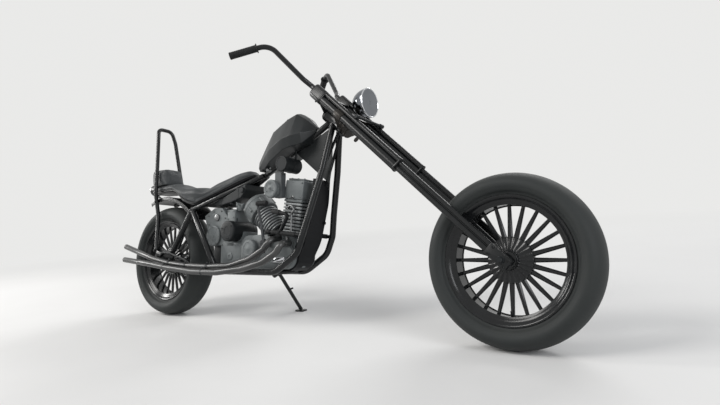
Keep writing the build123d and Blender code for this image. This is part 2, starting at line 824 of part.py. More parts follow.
oil_tank_roof = [(x, rail_side(x, -1)) for x in (oil_tank_outline[-1][0], oil_tank_outline[0][0])]
with BuildPart() as oil_tank:
    add(side_prism((*oil_tank_outline, *oil_tank_roof), -oil_tank_half_width, oil_tank_half_width))
oil_tank.part.label = "oil_tank"
assembly.append(oil_tank.part)

# Seat and backrest pad
with BuildPart() as seat:
    add(section_loft(seat_sections, rail_top))
seat.part.label = "seat"
assembly.append(seat.part)

backrest_low = seat_pad_top + seat_gap
backrest_half_view = ((backrest_foot_half_width, backrest_low), (backrest_top_half_width, backrest_top))
with BuildPart() as backrest:
    add(side_prism(backrest_side, -100, 100))
    add(front_prism(backrest_half_view, -250, 50), mode=Mode.INTERSECT)
backrest.part.label = "backrest"
assembly.append(backrest.part)

# Fuel tank, hollowed below for the backbone, and its cap
backbone_slope = (backbone_front[2] - backbone_rear[2]) / (backbone_front[0] - backbone_rear[0])


def backbone_top_z(x):
    """Height just above the backbone's upper side."""
    rise = (frame_tube / 2 + seat_gap) / cos(atan(backbone_slope))
    return backbone_rear[2] + backbone_slope * (x - backbone_rear[0]) + rise


tank_ends = (tank_sections[0][0] - 1, tank_sections[-1][0] + 1)
tunnel_roof = [(x, backbone_top_z(x)) for x in tank_ends]
tunnel_floor = [(x, tank_sections[0][1] - 1) for x in reversed(tank_ends)]
with BuildPart() as fuel_tank:
    add(section_loft(tank_sections, backbone_top_z))
    add(side_prism((*tunnel_roof, *tunnel_floor), -tunnel_half_width, tunnel_half_width), mode=Mode.SUBTRACT)
fuel_tank.part.label = "fuel_tank"
assembly.append(fuel_tank.part)

cap_x, cap_z = cap_spot
with BuildPart() as tank_cap:
    with BuildSketch(Plane.XY.offset(cap_z - 12)):
        with Locations((cap_x, 0)):
            Circle(cap_radius)
    extrude(amount=cap_height + 12)
    add(fuel_tank.part, mode=Mode.SUBTRACT)
tank_cap.part.label = "tank_cap"
assembly.append(tank_cap.part)

# Engine: crankcase, gearbox, cylinders with fins, and heads
starter_space = cross_cylinder(starter_x, starter_z, starter_radius + tight_gap, starter_y[0], starter_y[1])
with BuildPart() as gearbox:
    add(block(gearbox_x, (-gearbox_half_width, gearbox_half_width), gearbox_z, 12))
    add(block((gearbox_x[0] + 45, gearbox_x[1]), (-60, 45), (gearbox_z[1] - 20, starter_z), 0))
    add(block(step_x, (-gearbox_half_width, 40), step_z, 0))
    add(side_prism(upper_case_outline, -gearbox_half_width + 3, gearbox_half_width - 10))
    add(cross_cylinder(shaft_end_x, shaft_end_z, shaft_end_radius, -gearbox_half_width - 9, 30))
    add(starter_space, mode=Mode.SUBTRACT)
gearbox.part.label = "gearbox"
assembly.append(gearbox.part)

with BuildPart() as crankcase:
    add(block(case_x, (-case_half_width, case_half_width), case_z, case_rounding))
    add(gearbox.part, mode=Mode.SUBTRACT)
    add(starter_space, mode=Mode.SUBTRACT)
crankcase.part.label = "crankcase"
assembly.append(crankcase.part)

with BuildPart() as round_cover:
    add(cross_cylinder(cover_x, cover_z, cover_radius, -case_half_width - cover_depth, -case_half_width))
round_cover.part.label = "round_cover"
assembly.append(round_cover.part)

with BuildPart() as starter_motor:
    add(cross_cylinder(starter_x, starter_z, starter_radius, starter_y[0], starter_y[1]))
starter_motor.part.label = "starter_motor"
assembly.append(starter_motor.part)

engine_heads = {}
for name, tilt, foot_x, foot_z, head_half, head_height, head_rounding in cylinders:
    up = Vector(sin(radians(tilt)), 0, cos(radians(tilt)))
    barrel_plane = Plane(origin=(foot_x, 0, foot_z), x_dir=(cos(radians(tilt)), 0, -sin(radians(tilt))), z_dir=up)
    barrel_length = fin_count * fin_pitch
    with BuildPart() as barrel:
        with BuildSketch(barrel_plane.offset(-core_depth)):
            Circle(core_radius)
        extrude(amount=core_depth + barrel_length)
        for index in range(fin_count):
            with BuildSketch(barrel_plane.offset(fin_pitch * index)):
                Circle(cylinder_radius)
            extrude(amount=fin_thickness)
        add(crankcase.part, mode=Mode.SUBTRACT)
    barrel.part.label = f"{name}_cylinder"
    assembly.append(barrel.part)
    with BuildPart() as head:
        head_middle = Vector(foot_x, 0, foot_z) + up * (barrel_length + head_height / 2)
        with BuildSketch(Plane(origin=head_middle, x_dir=barrel_plane.x_dir, z_dir=(0, -1, 0))):
            RectangleRounded(2 * head_half, head_height, head_rounding)
        extrude(amount=cylinder_radius, both=True)
    head.part.label = f"{name}_head"
    engine_heads[name] = head.part
    assembly.append(head.part)

with BuildPart() as coil_canister:
    add(cross_cylinder(canister_x, canister_z, canister_radius, canister_y[0], canister_y[1]))
    hanger_top = (canister_x, hanger_y, canister_z + hanger_length)
    add(rod(((canister_x, hanger_y, canister_z), hanger_top), hanger_diameter))
    add(backbone.part, mode=Mode.SUBTRACT)
coil_canister.part.label = "coil_canister"
assembly.append(coil_canister.part)

with BuildPart() as intake_box:
    add(block(intake_x, intake_y, intake_z, 4))
    add(list(engine_heads.values()), mode=Mode.SUBTRACT)
intake_box.part.label = "intake_box"
assembly.append(intake_box.part)

with BuildPart() as air_cleaner:
    add(cross_cylinder(cleaner_x, cleaner_z, cleaner_radius, intake_y[0] - 25, intake_y[0]))
air_cleaner.part.label = "air_cleaner"
assembly.append(air_cleaner.part)

# Kick lever, and the foot rest bars with their pedal
kick_y = -case_half_width - kick_reach
with BuildPart() as kick_lever:
    add(cross_cylinder(*kick_shaft, kick_shaft_radius, kick_y, -case_half_width))
    add(cross_cylinder(*kick_shaft, kick_hub_radius, kick_y - 12, kick_y + 12))
    kick_route = [(x, kick_y, z) for x, z in (kick_shaft, kick_knee, kick_top)]
    add(rod(kick_route, kick_arm_diameter, 60))
    pad_start = (kick_top[0] - 4, kick_y, kick_top[1])
    add(rod((pad_start, (pad_start[0] + kick_pad_length, kick_y, kick_top[1])), kick_pad_diameter))
kick_lever.part.label = "kick_lever"
assembly.append(kick_lever.part)

foot_bars = []
for side, sign in sides:
    with BuildPart() as foot_bar:
        bar_y = sign * (frame_half_width + 4)
        ends = [(knee_x - back, bar_y, knee_z + rise) for back, rise in (foot_bar_front, foot_bar_rear)]
        add(rod(ends, foot_bar_diameter))
        stub_x = knee_x - foot_bar_stub[0]
        stub_low, stub_high = sorted((sign * case_half_width, bar_y))
        add(cross_cylinder(stub_x, knee_z + foot_bar_stub[1], foot_bar_diameter / 2 - 1, stub_low, stub_high))
        if sign == right:
            pedal_route = [(knee_x - back, bar_y, knee_z + rise) for back, rise in pedal_points]
            add(rod(pedal_route, pedal_diameter, pedal_bends))
        add(list(cradles.values()), mode=Mode.SUBTRACT)
    foot_bars.append(foot_bar.part)
with BuildPart() as foot_controls:
    add(foot_bars)
foot_controls.part.label = "foot_controls"
assembly.append(foot_controls.part)

# Exhaust pipes
for name, pipe_y, port, run in exhausts:
    route = [(port[0], -case_half_width, port[1]), *[(x, pipe_y, z) for x, z in run]]
    with BuildPart() as pipe:
        add(rod(route, pipe_diameter, [port_bend] * 2 + [pipe_bend] * (len(run) - 3)))
        add(crankcase.part, mode=Mode.SUBTRACT)
    pipe.part.label = name
    assembly.append(pipe.part)

# Final drive chain on the left
with BuildPart() as drive_chain:
    with BuildSketch(Plane.XZ.offset(-chain_y - chain_width / 2)):
        for grow, mode in ((chain_gap + chain_height, Mode.ADD), (chain_gap, Mode.SUBTRACT)):
            with BuildSketch(Plane.XZ.offset(-chain_y - chain_width / 2), mode=mode):
                with Locations((0, tyre_radius)):
                    Circle(sprocket_radius + grow)
                with Locations((drive_x, drive_z)):
                    Circle(drive_sprocket_radius - chain_gap + grow)
                make_hull()
    extrude(amount=chain_width)
drive_chain.part.label = "drive_chain"
assembly.append(drive_chain.part)

with BuildPart() as drive_sprocket:
    sprocket_top_y = chain_y + sprocket_width / 2
    add(cross_cylinder(drive_x, drive_z, drive_sprocket_radius - seat_gap, gearbox_half_width, sprocket_top_y))
drive_sprocket.part.label = "drive_sprocket"
assembly.append(drive_sprocket.part)

# Side stand, hinged on its pin, its pad flat on the floor once the machine leans
contact_drop = tyre_section_half * cos(radians(lean)) - hypot(
    tyre_half_width * sin(radians(lean)), tyre_section_half * cos(radians(lean))
)
foot_z = (contact_drop + stand_foot_y * sin(radians(lean))) / cos(radians(lean))
floor_plane = Plane(
    origin=(stand_foot_x, stand_foot_y, foot_z),
    x_dir=(1, 0, 0),
    z_dir=(0, -sin(radians(lean)), cos(radians(lean))),
)
with BuildPart() as side_stand:
    with BuildSketch(floor_plane):
        RectangleRounded(stand_pad[0], stand_pad[1], 12)
    extrude(amount=stand_pad[2])
    add(rod((stand_hinge, (stand_foot_x, stand_foot_y, foot_z + stand_pad[2])), stand_leg_diameter))
    eye_start = stand_hinge - hinge_axis * (stand_eye_width / 2)
    eye_end = stand_hinge + hinge_axis * (stand_eye_width / 2)
    add(rod((eye_start, eye_end), stand_eye_diameter))
    pin_space = rod((eye_start - hinge_axis * 20, eye_end + hinge_axis * 20), stand_pin_diameter + 2 * running_fit)
    add(pin_space, mode=Mode.SUBTRACT)
side_stand.part.label = "side_stand"
assembly.append(side_stand.part)

# Parking: lean to the left, then set the origin under the middle of the whole machine
leaning = Location((0, 0, 0), (-lean, 0, 0))
parked = [leaning * piece for piece in assembly]
boxes = [piece.bounding_box() for piece in parked]
middle_x = (min(box.min.X for box in boxes) + max(box.max.X for box in boxes)) / 2
middle_y = (min(box.min.Y for box in boxes) + max(box.max.Y for box in boxes)) / 2
floor_z = min(box.min.Z for box in boxes)
parking = Location((-middle_x, -middle_y, -floor_z)) * leaning
for piece in assembly:
    label = piece.label
    placed = parking * piece
    placed.label = label
    export_step(placed, f"parts/{label}.step")
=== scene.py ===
import json
import math
from math import cos, degrees, pi, radians, sin

import bmesh
import bpy
from mathutils import Matrix, Vector


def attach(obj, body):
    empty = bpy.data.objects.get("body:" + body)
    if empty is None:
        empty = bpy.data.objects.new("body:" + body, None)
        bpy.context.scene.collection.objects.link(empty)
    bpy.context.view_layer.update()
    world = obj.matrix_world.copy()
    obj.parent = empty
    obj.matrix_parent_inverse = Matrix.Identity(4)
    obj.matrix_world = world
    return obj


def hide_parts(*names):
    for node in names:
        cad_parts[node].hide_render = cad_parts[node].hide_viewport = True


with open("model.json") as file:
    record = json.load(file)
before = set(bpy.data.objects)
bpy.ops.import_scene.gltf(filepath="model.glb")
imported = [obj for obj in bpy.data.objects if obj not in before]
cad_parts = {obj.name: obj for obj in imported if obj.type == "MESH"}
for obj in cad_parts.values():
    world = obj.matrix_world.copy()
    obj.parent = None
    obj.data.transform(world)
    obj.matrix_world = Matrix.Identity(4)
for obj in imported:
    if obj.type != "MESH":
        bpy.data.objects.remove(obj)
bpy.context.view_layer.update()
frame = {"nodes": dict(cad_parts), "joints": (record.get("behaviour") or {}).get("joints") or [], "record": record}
scene = bpy.context.scene

AHEAD, LEFT, RIGHT, UP = Vector((1, 0, 0)), Vector((0, 1, 0)), Vector((0, -1, 0)), Vector((0, 0, 1))

# Everything is drawn upright in millimetres, then leans on its side stand with the CAD
LEAN = radians(8)
TYRE_R = 330
turn = Matrix.Rotation(-LEAN, 4, "X")
joint_at = {joint["name"]: Vector(joint["pos_m"]) for joint in frame["joints"]}
PARK = Matrix.Translation(joint_at["rear_wheel_spin"] - turn @ Vector((0, 0, TYRE_R / 1000))) @ turn
PLACE = PARK @ Matrix.Scale(0.001, 4)
WHEELBASE = (PLACE.inverted() @ joint_at["front_wheel_spin"]).x
FRONT_HUB = Vector((WHEELBASE, 0, TYRE_R))
REAR_HUB = Vector((0, 0, TYRE_R))
SLOPE = radians(42.4)
ALONG = Vector((-cos(SLOPE), 0, sin(SLOPE)))
OFF = Vector((sin(SLOPE), 0, cos(SLOPE)))


def fork(distance, offset, y=0):
    """Point this far up the fork from the axle and this far forward of its line."""
    return FRONT_HUB + ALONG * distance + OFF * offset + LEFT * y


def mirror(p, sign):
    """The same point on the left (1) or right (-1) side."""
    return Vector((p[0], p[1] * sign, p[2]))


def turns(count):
    return [2 * pi * k / count for k in range(count)]


# Mesh helpers
class Shape:
    """Faces gathered for one piece."""

    def __init__(self):
        self.verts = []
        self.faces = []

    def rings(self, rings, loop=False):
        """Skin over a row of rings with as many points each, closed by end faces or into a loop."""
        n, count, base = len(rings[0]), len(rings), len(self.verts)
        self.verts += [Vector(p) for ring in rings for p in ring]
        for i in range(count if loop else count - 1):
            a, b = base + i * n, base + (i + 1) % count * n
            self.faces += [(a + k, a + (k + 1) % n, b + (k + 1) % n, b + k) for k in range(n)]
        if not loop:
            last = base + (count - 1) * n
            self.faces += [tuple(base + k for k in reversed(range(n))), tuple(last + k for k in range(n))]
        return self

    def lathe(self, profile, centre, axis, segments=48, closed=False):
        """Profile of (along, radius) pairs turned about an axis."""
        u, v, w = basis(axis)
        centre = Vector(centre)
        return self.rings([[centre + w * along + (u * cos(a) + v * sin(a)) * radius for a in turns(segments)]
                           for along, radius in profile], loop=closed)

    def tube(self, points, radius, bends=0, segments=28, chamfer=1.0, flat=1.0, up=None):
        """Round bar along runs that arcs join, its ends chamfered."""
        line = path(points, bends)
        first, last = [a + (b - a).normalized() * min(chamfer, (b - a).length * 0.4)
                       for a, b in (line[:2], line[:-3:-1])]
        line = [line[0], first, *line[1:-1], last, line[-1]]
        rings = []
        side = up
        for i, p in enumerate(line):
            tangent = (line[min(i + 1, len(line) - 1)] - line[max(i - 1, 0)]).normalized()
            side = side or (UP if abs(tangent.z) < 0.9 else AHEAD)
            side = (side - tangent * side.dot(tangent)).normalized()
            other = tangent.cross(side)
            r = radius - min(chamfer, radius * 0.5) if i in (0, len(line) - 1) else radius
            rings.append([p + (side * cos(a) * flat + other * sin(a)) * r for a in turns(segments)])
        return self.rings(rings)

    def prism(self, outline, low, high, origin=(0, 0, 0), u=AHEAD, v=UP):
        """Outline of (a, b) points on the axes u and v, given depth along u x v."""
        w = u.cross(v).normalized()
        flat = [Vector(origin) + u * a + v * b for a, b in outline]
        return self.rings([[p + w * low for p in flat], [p + w * high for p in flat]])

    def box(self, x, y, z):
        return self.prism([(x[0], z[0]), (x[1], z[0]), (x[1], z[1]), (x[0], z[1])], -y[1], -y[0])

    def bolt(self, at, axis, across_flats=13, height=6):
        """Hexagon head on a washer."""
        r = across_flats / math.sqrt(3)
        self.lathe([(-1, r * 1.25), (1.2, r * 1.25), (1.6, r * 1.15)], at, axis, 20)
        self.lathe([(1, r), (height - 1, r), (height, r * 0.86), (height, 0.3)], at, axis, 6)

    def cap_screw(self, at, axis, radius=5, height=6):
        """Socket head screw."""
        self.lathe([(-1, radius), (height - 0.8, radius), (height, radius - 0.8), (height, radius * 0.55),
                    (height - 2.5, radius * 0.5), (height - 2.5, 0.2)], at, axis, 18)

    def screws(self, spots, y, side, radius, height):
        """Cap screws at (x, z) spots on a face that looks left (1) or right (-1)."""
        for x, z in spots:
            self.cap_screw((x, y, z), LEFT * side, radius, height)


def basis(axis):
    w = Vector(axis).normalized()
    u = w.cross(LEFT if abs(w.y) < 0.9 else AHEAD).normalized()
    return u, w.cross(u), w


def path(points, bends, step=6):
    """Points along straight runs with arcs of the given radii at the corners."""
    pts = [Vector(p) for p in points]
    out = [pts[0]]
    for i in range(1, len(pts) - 1):
        a, b, c = pts[i - 1:i + 2]
        radius = bends[i - 1] if isinstance(bends, (tuple, list)) else bends
        u, w = (a - b).normalized(), (c - b).normalized()
        angle = u.angle(w)
        if radius <= 0 or pi - angle < 0.01:
            out.append(b)
            continue
        reach = min(radius / math.tan(angle / 2), (a - b).length * (0.49 if i > 1 else 0.95),
                    (c - b).length * (0.49 if i < len(pts) - 2 else 0.95))
        radius = reach * math.tan(angle / 2)
        centre = b + (u + w).normalized() * (radius / sin(angle / 2))
        v0, v1 = b + u * reach - centre, b + w * reach - centre
        swing = pi - angle
        count = max(3, int(degrees(swing) / step) + 1)
        for k in range(count + 1):
            t = k / count
            out.append(centre + (v0 * sin((1 - t) * swing) + v1 * sin(t * swing)) / sin(swing))
    out.append(pts[-1])
    clean = out[:1]
    for p in out[1:]:
        if (p - clean[-1]).length > 0.05:
            clean.append(p)
    return clean


def ring_of(centre, reach, angles):
    """Points (a, b) round a centre, angles in degrees."""
    return [(centre[0] + reach * cos(radians(a)), centre[1] + reach * sin(radians(a))) for a in angles]


# Outlines: each is a function of how far it is drawn in, so that plates get rounded edges
def oblong(x, z, r, count=5, share=1.0):
    """Rounded rectangle."""
    def outline(inset):
        (x0, x1), (z0, z1), c = x, z, max(1.5, r - inset * share) + inset
        corners = ((x1 - c, z0 + c), (x1 - c, z1 - c), (x0 + c, z1 - c), (x0 + c, z0 + c))
        return [p for i, corner in enumerate(corners)
                for p in ring_of(corner, c - inset, [90 * (i - 1 + k / count) for k in range(count + 1)])]
    return outline


def hull(circles, count=64):
    """Outline round a few circles (a, b, radius)."""
    def outline(inset):
        points = []
        for t in turns(count):
            d = (cos(t), sin(t))
            a, b, r = max(circles, key=lambda c: c[0] * d[0] + c[1] * d[1] + c[2])
            points.append((a + (r - inset) * d[0], b + (r - inset) * d[1]))
        return points
    return outline


def plate(shape, outline, low, high, origin, u, v, edge=1.0):
    """Plate of this outline on the axes u and v, with rounded edges."""
    w = u.cross(v).normalized()
    shape.rings([[Vector(origin) + u * a + v * b + w * depth for a, b in outline(inset)] for depth, inset in (
        (low, edge), (low + edge * 0.3, edge * 0.3), (low + edge, 0), (high - edge, 0),
        (high - edge * 0.3, edge * 0.3), (high, edge))])


def across(shape, outline, low, high, edge=1.0):
    """Plate whose (x, z) outline is seen from the side, between two y planes."""
    plate(shape, outline, -high, -low, (0, 0, 0), AHEAD, UP, edge)


def bead(shape, a, b, distance, radius, size=2.4):
    """Rippled weld bead round a tube from a to b, this far along it, or before its end if negative."""
    u, v, w = basis(b - a)
    at = (b if distance < 0 else a) + w * distance
    rings = []
    for t in turns(72):
        lump = size * (1 + 0.22 * sin(t * 18))
        out = u * cos(t) + v * sin(t)
        rings.append([at + out * (radius - 0.6 + lump * 0.55 * cos(s)) + w * lump * 1.5 * sin(s) for s in turns(8)])
    shape.rings(rings, loop=True)


def ribs(start, stop, step, high, low, widths):
    """Profile with a groove at each step."""
    profile = []
    while start < stop:
        profile += [(start + shift, r) for shift, r in zip((0, *widths), (high, low, low, high))]
        start += step
    return profile


def soften(points, radii, count=5):
    """Closed outline with each corner rounded by the same number of points."""
    out = []
    for i in range(len(points)):
        a, b, c = [Vector(points[(i + k) % len(points)]) for k in (-1, 0, 1)]
        u, w = (a - b).normalized(), (c - b).normalized()
        angle = max(0.05, min(pi - 0.01, math.acos(max(-1, min(1, u.dot(w))))))
        reach = min(radii[i] / math.tan(angle / 2), (a - b).length * 0.46, (c - b).length * 0.46)
        out += [b + u * reach * (1 - k / count) ** 2 + w * reach * (k / count) ** 2 for k in range(count + 1)]
    return out


def smooth_rows(rows, extra, blend=1.0):
    """More rows between the given ones, from straight runs (blend 0) to a smooth curve (1)."""
    out = []
    for i in range(len(rows) - 1):
        four = rows[max(i - 1, 0)], rows[i], rows[i + 1], rows[min(i + 2, len(rows) - 1)]
        for k in range(extra):
            t = k / extra
            row = []
            for p0, p1, p2, p3 in zip(*four):
                m1, m2 = (p2 - p0) / 2, (p3 - p1) / 2
                curve = ((2 * t ** 3 - 3 * t ** 2 + 1) * p1 + (t ** 3 - 2 * t ** 2 + t) * m1
                         + (3 * t ** 2 - 2 * t ** 3) * p2 + (t ** 3 - t ** 2) * m2)
                row.append(blend * curve + (1 - blend) * (p1 + (p2 - p1) * t))
            out.append(row)
    out.append(list(rows[-1]))
    return out


def lofted(shape, rows, radii, extra, inset, blend):
    """Body through rows of (x, bottom, half width, side, half width, shoulder, half width, top)."""
    rings = []
    for x, bottom, bottom_half, side, side_half, shoulder, shoulder_half, top in smooth_rows(rows, extra, blend):
        half = [(bottom_half - inset, bottom + inset), (side_half - inset, side),
                (shoulder_half - inset, shoulder - inset), (shoulder_half / 3, top - inset)]
        outline = half + [(-y, z) for y, z in reversed(half)]
        rings.append([Vector((x, y, z)) for y, z in soften(outline, radii + radii[::-1])])
    shape.rings(rings)
    return rings


def made(name, shape):
    """Object of this shape, leaning with the machine, in metres."""
    mesh = bpy.data.meshes.new(name)
    mesh.from_pydata([v[:] for v in shape.verts], [], shape.faces)
    mesh.transform(PLACE)
    bm = bmesh.new()
    bm.from_mesh(mesh)
    bmesh.ops.recalc_face_normals(bm, faces=bm.faces)
    bm.to_mesh(mesh)
    bm.free()
    thing = bpy.data.objects.new(name, mesh)
    scene.collection.objects.link(thing)
    return thing


def dress(thing, slot, stands_for, body, finish, angle):
    """Material and shading, and what the piece rides on and stands for."""
    thing.data.materials.clear()
    thing.data.materials.append(FINISHES[finish or slot])
    thing.data.shade_smooth()
    thing.data.set_sharp_from_angle(angle=radians(angle))
    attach(thing, body)
    if stands_for:
        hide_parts(stands_for)


def piece(name, shape, slot, stands_for=None, body="chassis", finish=None, bevel=0, angle=32, steps=2):
    """Makes one piece from a shape and hangs it on its body; it has its slot's finish unless one is given."""
    thing = made(name, shape)
    dress(thing, slot, stands_for, body, finish, angle)
    if bevel:
        mod = thing.modifiers.new("edges", "BEVEL")
        mod.width = bevel / 1000
        mod.segments = steps
        mod.limit_method = "ANGLE"
        mod.angle_limit = radians(angle)
        mod.harden_normals = True


# Materials
def add(tree, kind, out, inputs, **settings):
    """Adds a shader node, its inputs given values or linked to other outputs, and gives one output."""
    node = tree.nodes.new("ShaderNode" + kind)
    for name, value in settings.items():
        setattr(node, name, value)
    for socket, value in inputs.items():
        if isinstance(value, bpy.types.NodeSocket):
            tree.links.new(value, node.inputs[socket])
        else:
            node.inputs[socket].default_value = value
    return node.outputs[out]


def coloured(name, base, other, roughness, metallic=0.0, bump=0.1, grain=900, blotch=14, spread=0.08, wear=None,
             wear_rough=0.35, coat=0.0, dust=0.0, coat_rough=0.06, gloss=0.35, cells=0):
    """Procedural finish: colour drifts between two tones, roughness varies, grain is bumped, edges wear."""
    mat = bpy.data.materials.new(name)
    mat.use_nodes = True
    tree = mat.node_tree
    link = tree.links.new
    shader = tree.nodes["Principled BSDF"].inputs
    shader["Metallic"].default_value = metallic
    shader["Specular IOR Level"].default_value = gloss
    if coat:
        shader["Coat Weight"].default_value = coat
        shader["Coat Roughness"].default_value = coat_rough
    where = add(tree, "TexCoord", "Object", {})
    large = add(tree, "TexNoise", "Fac", {"Vector": where, "Scale": blotch, "Detail": 6, "Roughness": 0.62})
    colour = add(tree, "ValToRGB", "Color", {"Fac": large})
    for element, position, tone in zip(colour.node.color_ramp.elements, (0.32, 0.7), (base, other)):
        element.position = position
        element.color = (*tone, 1)
    rough = add(tree, "MapRange", "Result", {
        "Value": large, "From Min": 0.3, "From Max": 0.7, "To Min": max(0.02, roughness - spread),
        "To Max": min(1.0, roughness + spread)})
    if wear:
        # A rounded normal that differs from the face's own marks an edge; noise breaks the wear up
        soft = add(tree, "Bevel", "Normal", {"Radius": 0.0022}, samples=3)
        face = add(tree, "NewGeometry", "True Normal", {})
        match = add(tree, "VectorMath", "Value", {0: soft, 1: face}, operation="DOT_PRODUCT")
        edge = add(tree, "MapRange", "Result", {"Value": match, "From Min": 0.97, "From Max": 0.8})
        broken = add(tree, "TexNoise", "Fac", {"Vector": where, "Scale": 120, "Detail": 5})
        gate = add(tree, "MapRange", "Result", {"Value": broken, "From Min": 0.48, "From Max": 0.6})
        worn = add(tree, "Math", "Value", {0: edge, 1: gate}, operation="MULTIPLY")
        colour = add(tree, "Mix", "Result", {"Factor": worn, "A": colour, "B": (*wear, 1)}, data_type="RGBA")
        rough = add(tree, "Mix", "Result", {"Factor": worn, "A": rough, "B": wear_rough})
    if dust:
        # Dust lies where a face looks up
        normal = add(tree, "NewGeometry", "Normal", {})
        height = add(tree, "SeparateXYZ", "Z", {"Vector": normal})
        lying = add(tree, "MapRange", "Result", {"Value": height, "From Min": 0.55, "From Max": 1.0, "To Max": dust})
        amount = add(tree, "Math", "Value", {0: lying, 1: large}, operation="MULTIPLY")
        colour = add(tree, "Mix", "Result", {"Factor": amount, "A": colour, "B": (0.3, 0.29, 0.27, 1)},
                     data_type="RGBA")
    link(colour, shader["Base Color"])
    link(rough, shader["Roughness"])
    relief = None
    if bump:
        fine = add(tree, "TexNoise", "Fac", {"Vector": where, "Scale": grain, "Detail": 3})
        relief = add(tree, "Bump", "Normal", {"Strength": bump, "Distance": 0.0006, "Height": fine})
    if cells:
        # Leather's cell grain over the fine one
        crack = add(tree, "TexVoronoi", "Distance", {"Vector": where, "Scale": cells, "Randomness": 1},
                    feature="DISTANCE_TO_EDGE")
        crush = add(tree, "MapRange", "Result", {"Value": crack, "From Max": 0.12})
        relief = add(tree, "Bump", "Normal", {"Strength": 0.3, "Distance": 0.0004, "Height": crush, "Normal": relief})
    if relief:
        link(relief, shader["Normal"])
    return mat


FINISHES = {
    "tyre": coloured("tyre_rubber", (0.0185, 0.0212, 0.0212), (0.0255, 0.0285, 0.028), 0.64, bump=0.3, grain=700,
                     blotch=9, wear=(0.07, 0.07, 0.068), wear_rough=0.8, dust=0.1, gloss=0.3),
    "wheel_black": coloured("wheel_gloss", (0.006, 0.0065, 0.007), (0.01, 0.011, 0.012), 0.2, bump=0.02, grain=240,
                            coat=0.25, coat_rough=0.15, wear=(0.06, 0.06, 0.06), gloss=0.2),
    "frame_black": coloured("frame_gloss", (0.0055, 0.0062, 0.0066), (0.0092, 0.0102, 0.011), 0.27, bump=0, blotch=9,
                            coat=0.06, coat_rough=0.22, spread=0.03, gloss=0.28),
    "panel_black": coloured("panel_satin", (0.004, 0.0045, 0.0052), (0.007, 0.0076, 0.009), 0.42, bump=0.04,
                            grain=500, wear=(0.03, 0.03, 0.03), gloss=0.15),
    "tank_paint": coloured("tank_satin", (0.0135, 0.0155, 0.0162), (0.017, 0.0195, 0.0202), 0.42, bump=0.015,
                           grain=420, spread=0.03, gloss=0.28, coat=0.06, coat_rough=0.3),
    "engine_grey": coloured("engine_cast", (0.1, 0.111, 0.113), (0.138, 0.149, 0.151), 0.55, metallic=0.15, bump=0.4,
                            grain=850, blotch=22, wear=(0.26, 0.27, 0.27), dust=0.08),
    "intake_grey": coloured("intake_cast", (0.058, 0.064, 0.067), (0.078, 0.085, 0.088), 0.55, metallic=0.1, bump=0.3,
                            grain=850, wear=(0.16, 0.16, 0.16)),
    "engine_dark": coloured("engine_enamel", (0.0098, 0.0113, 0.0122), (0.0148, 0.0168, 0.018), 0.46, metallic=0.1,
                            bump=0.15, grain=800, wear=(0.08, 0.08, 0.08), gloss=0.18),
    "steel": coloured("plain_steel", (0.14, 0.143, 0.145), (0.2, 0.203, 0.205), 0.34, metallic=1.0, bump=0.08,
                      grain=600, wear=(0.36, 0.36, 0.36), wear_rough=0.2),
    "dark_steel": coloured("dark_steel", (0.034, 0.036, 0.038), (0.055, 0.057, 0.06), 0.36, metallic=0.7, bump=0.1,
                           grain=600, wear=(0.14, 0.14, 0.14)),
    "fin_metal": coloured("fin_metal", (0.17, 0.18, 0.183), (0.24, 0.25, 0.253), 0.42, metallic=0.4, bump=0.15,
                          grain=800, wear=(0.36, 0.37, 0.37)),
    "exhaust_steel": coloured("pipe_steel", (0.056, 0.0565, 0.057), (0.088, 0.0885, 0.0885), 0.34, metallic=0.8,
                              bump=0.06, grain=500, blotch=7, wear=(0.2, 0.2, 0.195), gloss=0.4),
    "tree_metal": coloured("tree_bronze", (0.02, 0.0185, 0.0165), (0.033, 0.0295, 0.026), 0.38, metallic=0.6,
                           bump=0.08, grain=600, wear=(0.16, 0.14, 0.12)),
    "chrome": coloured("bright_chrome", (0.52, 0.53, 0.55), (0.6, 0.61, 0.63), 0.07, metallic=1.0, bump=0.012,
                       grain=90, spread=0.04),
    "lamp_chrome": coloured("lamp_chrome", (0.15, 0.16, 0.175), (0.2, 0.21, 0.228), 0.1, metallic=1.0, bump=0,
                            blotch=8, spread=0.03),
    "seat_cover": coloured("seat_leather", (0.032, 0.0355, 0.0375), (0.043, 0.0465, 0.0485), 0.52, bump=0.2,
                           grain=1400, blotch=18, wear=(0.08, 0.084, 0.088), wear_rough=0.45, gloss=0.3, cells=420),
    "piping": coloured("seat_piping", (0.012, 0.0135, 0.0145), (0.019, 0.0205, 0.022), 0.5, bump=0.2, grain=1400,
                       gloss=0.3),
    "grip_rubber": coloured("grip_rubber", (0.0115, 0.012, 0.0125), (0.0175, 0.018, 0.0185), 0.66, bump=0.3,
                            grain=900, gloss=0.22),
    "lens": coloured("lamp_glass", (0.0105, 0.013, 0.0165), (0.0165, 0.0195, 0.024), 0.16, bump=0.02, grain=60,
                     gloss=0.12),
    "red_glass": coloured("tail_glass", (0.09, 0.006, 0.006), (0.13, 0.01, 0.009), 0.15, bump=0.02, grain=60,
                          gloss=0.5),
}
glass = FINISHES["lens"].node_tree.nodes["Principled BSDF"].inputs
glass["Transmission Weight"].default_value = 0.05
glass["IOR"].default_value = 1.45
for part in frame["record"]["subparts"]:
    cad = frame["nodes"][part["node"]].data
    cad.materials.clear()
    cad.materials.append(FINISHES[part["material_slot"]])


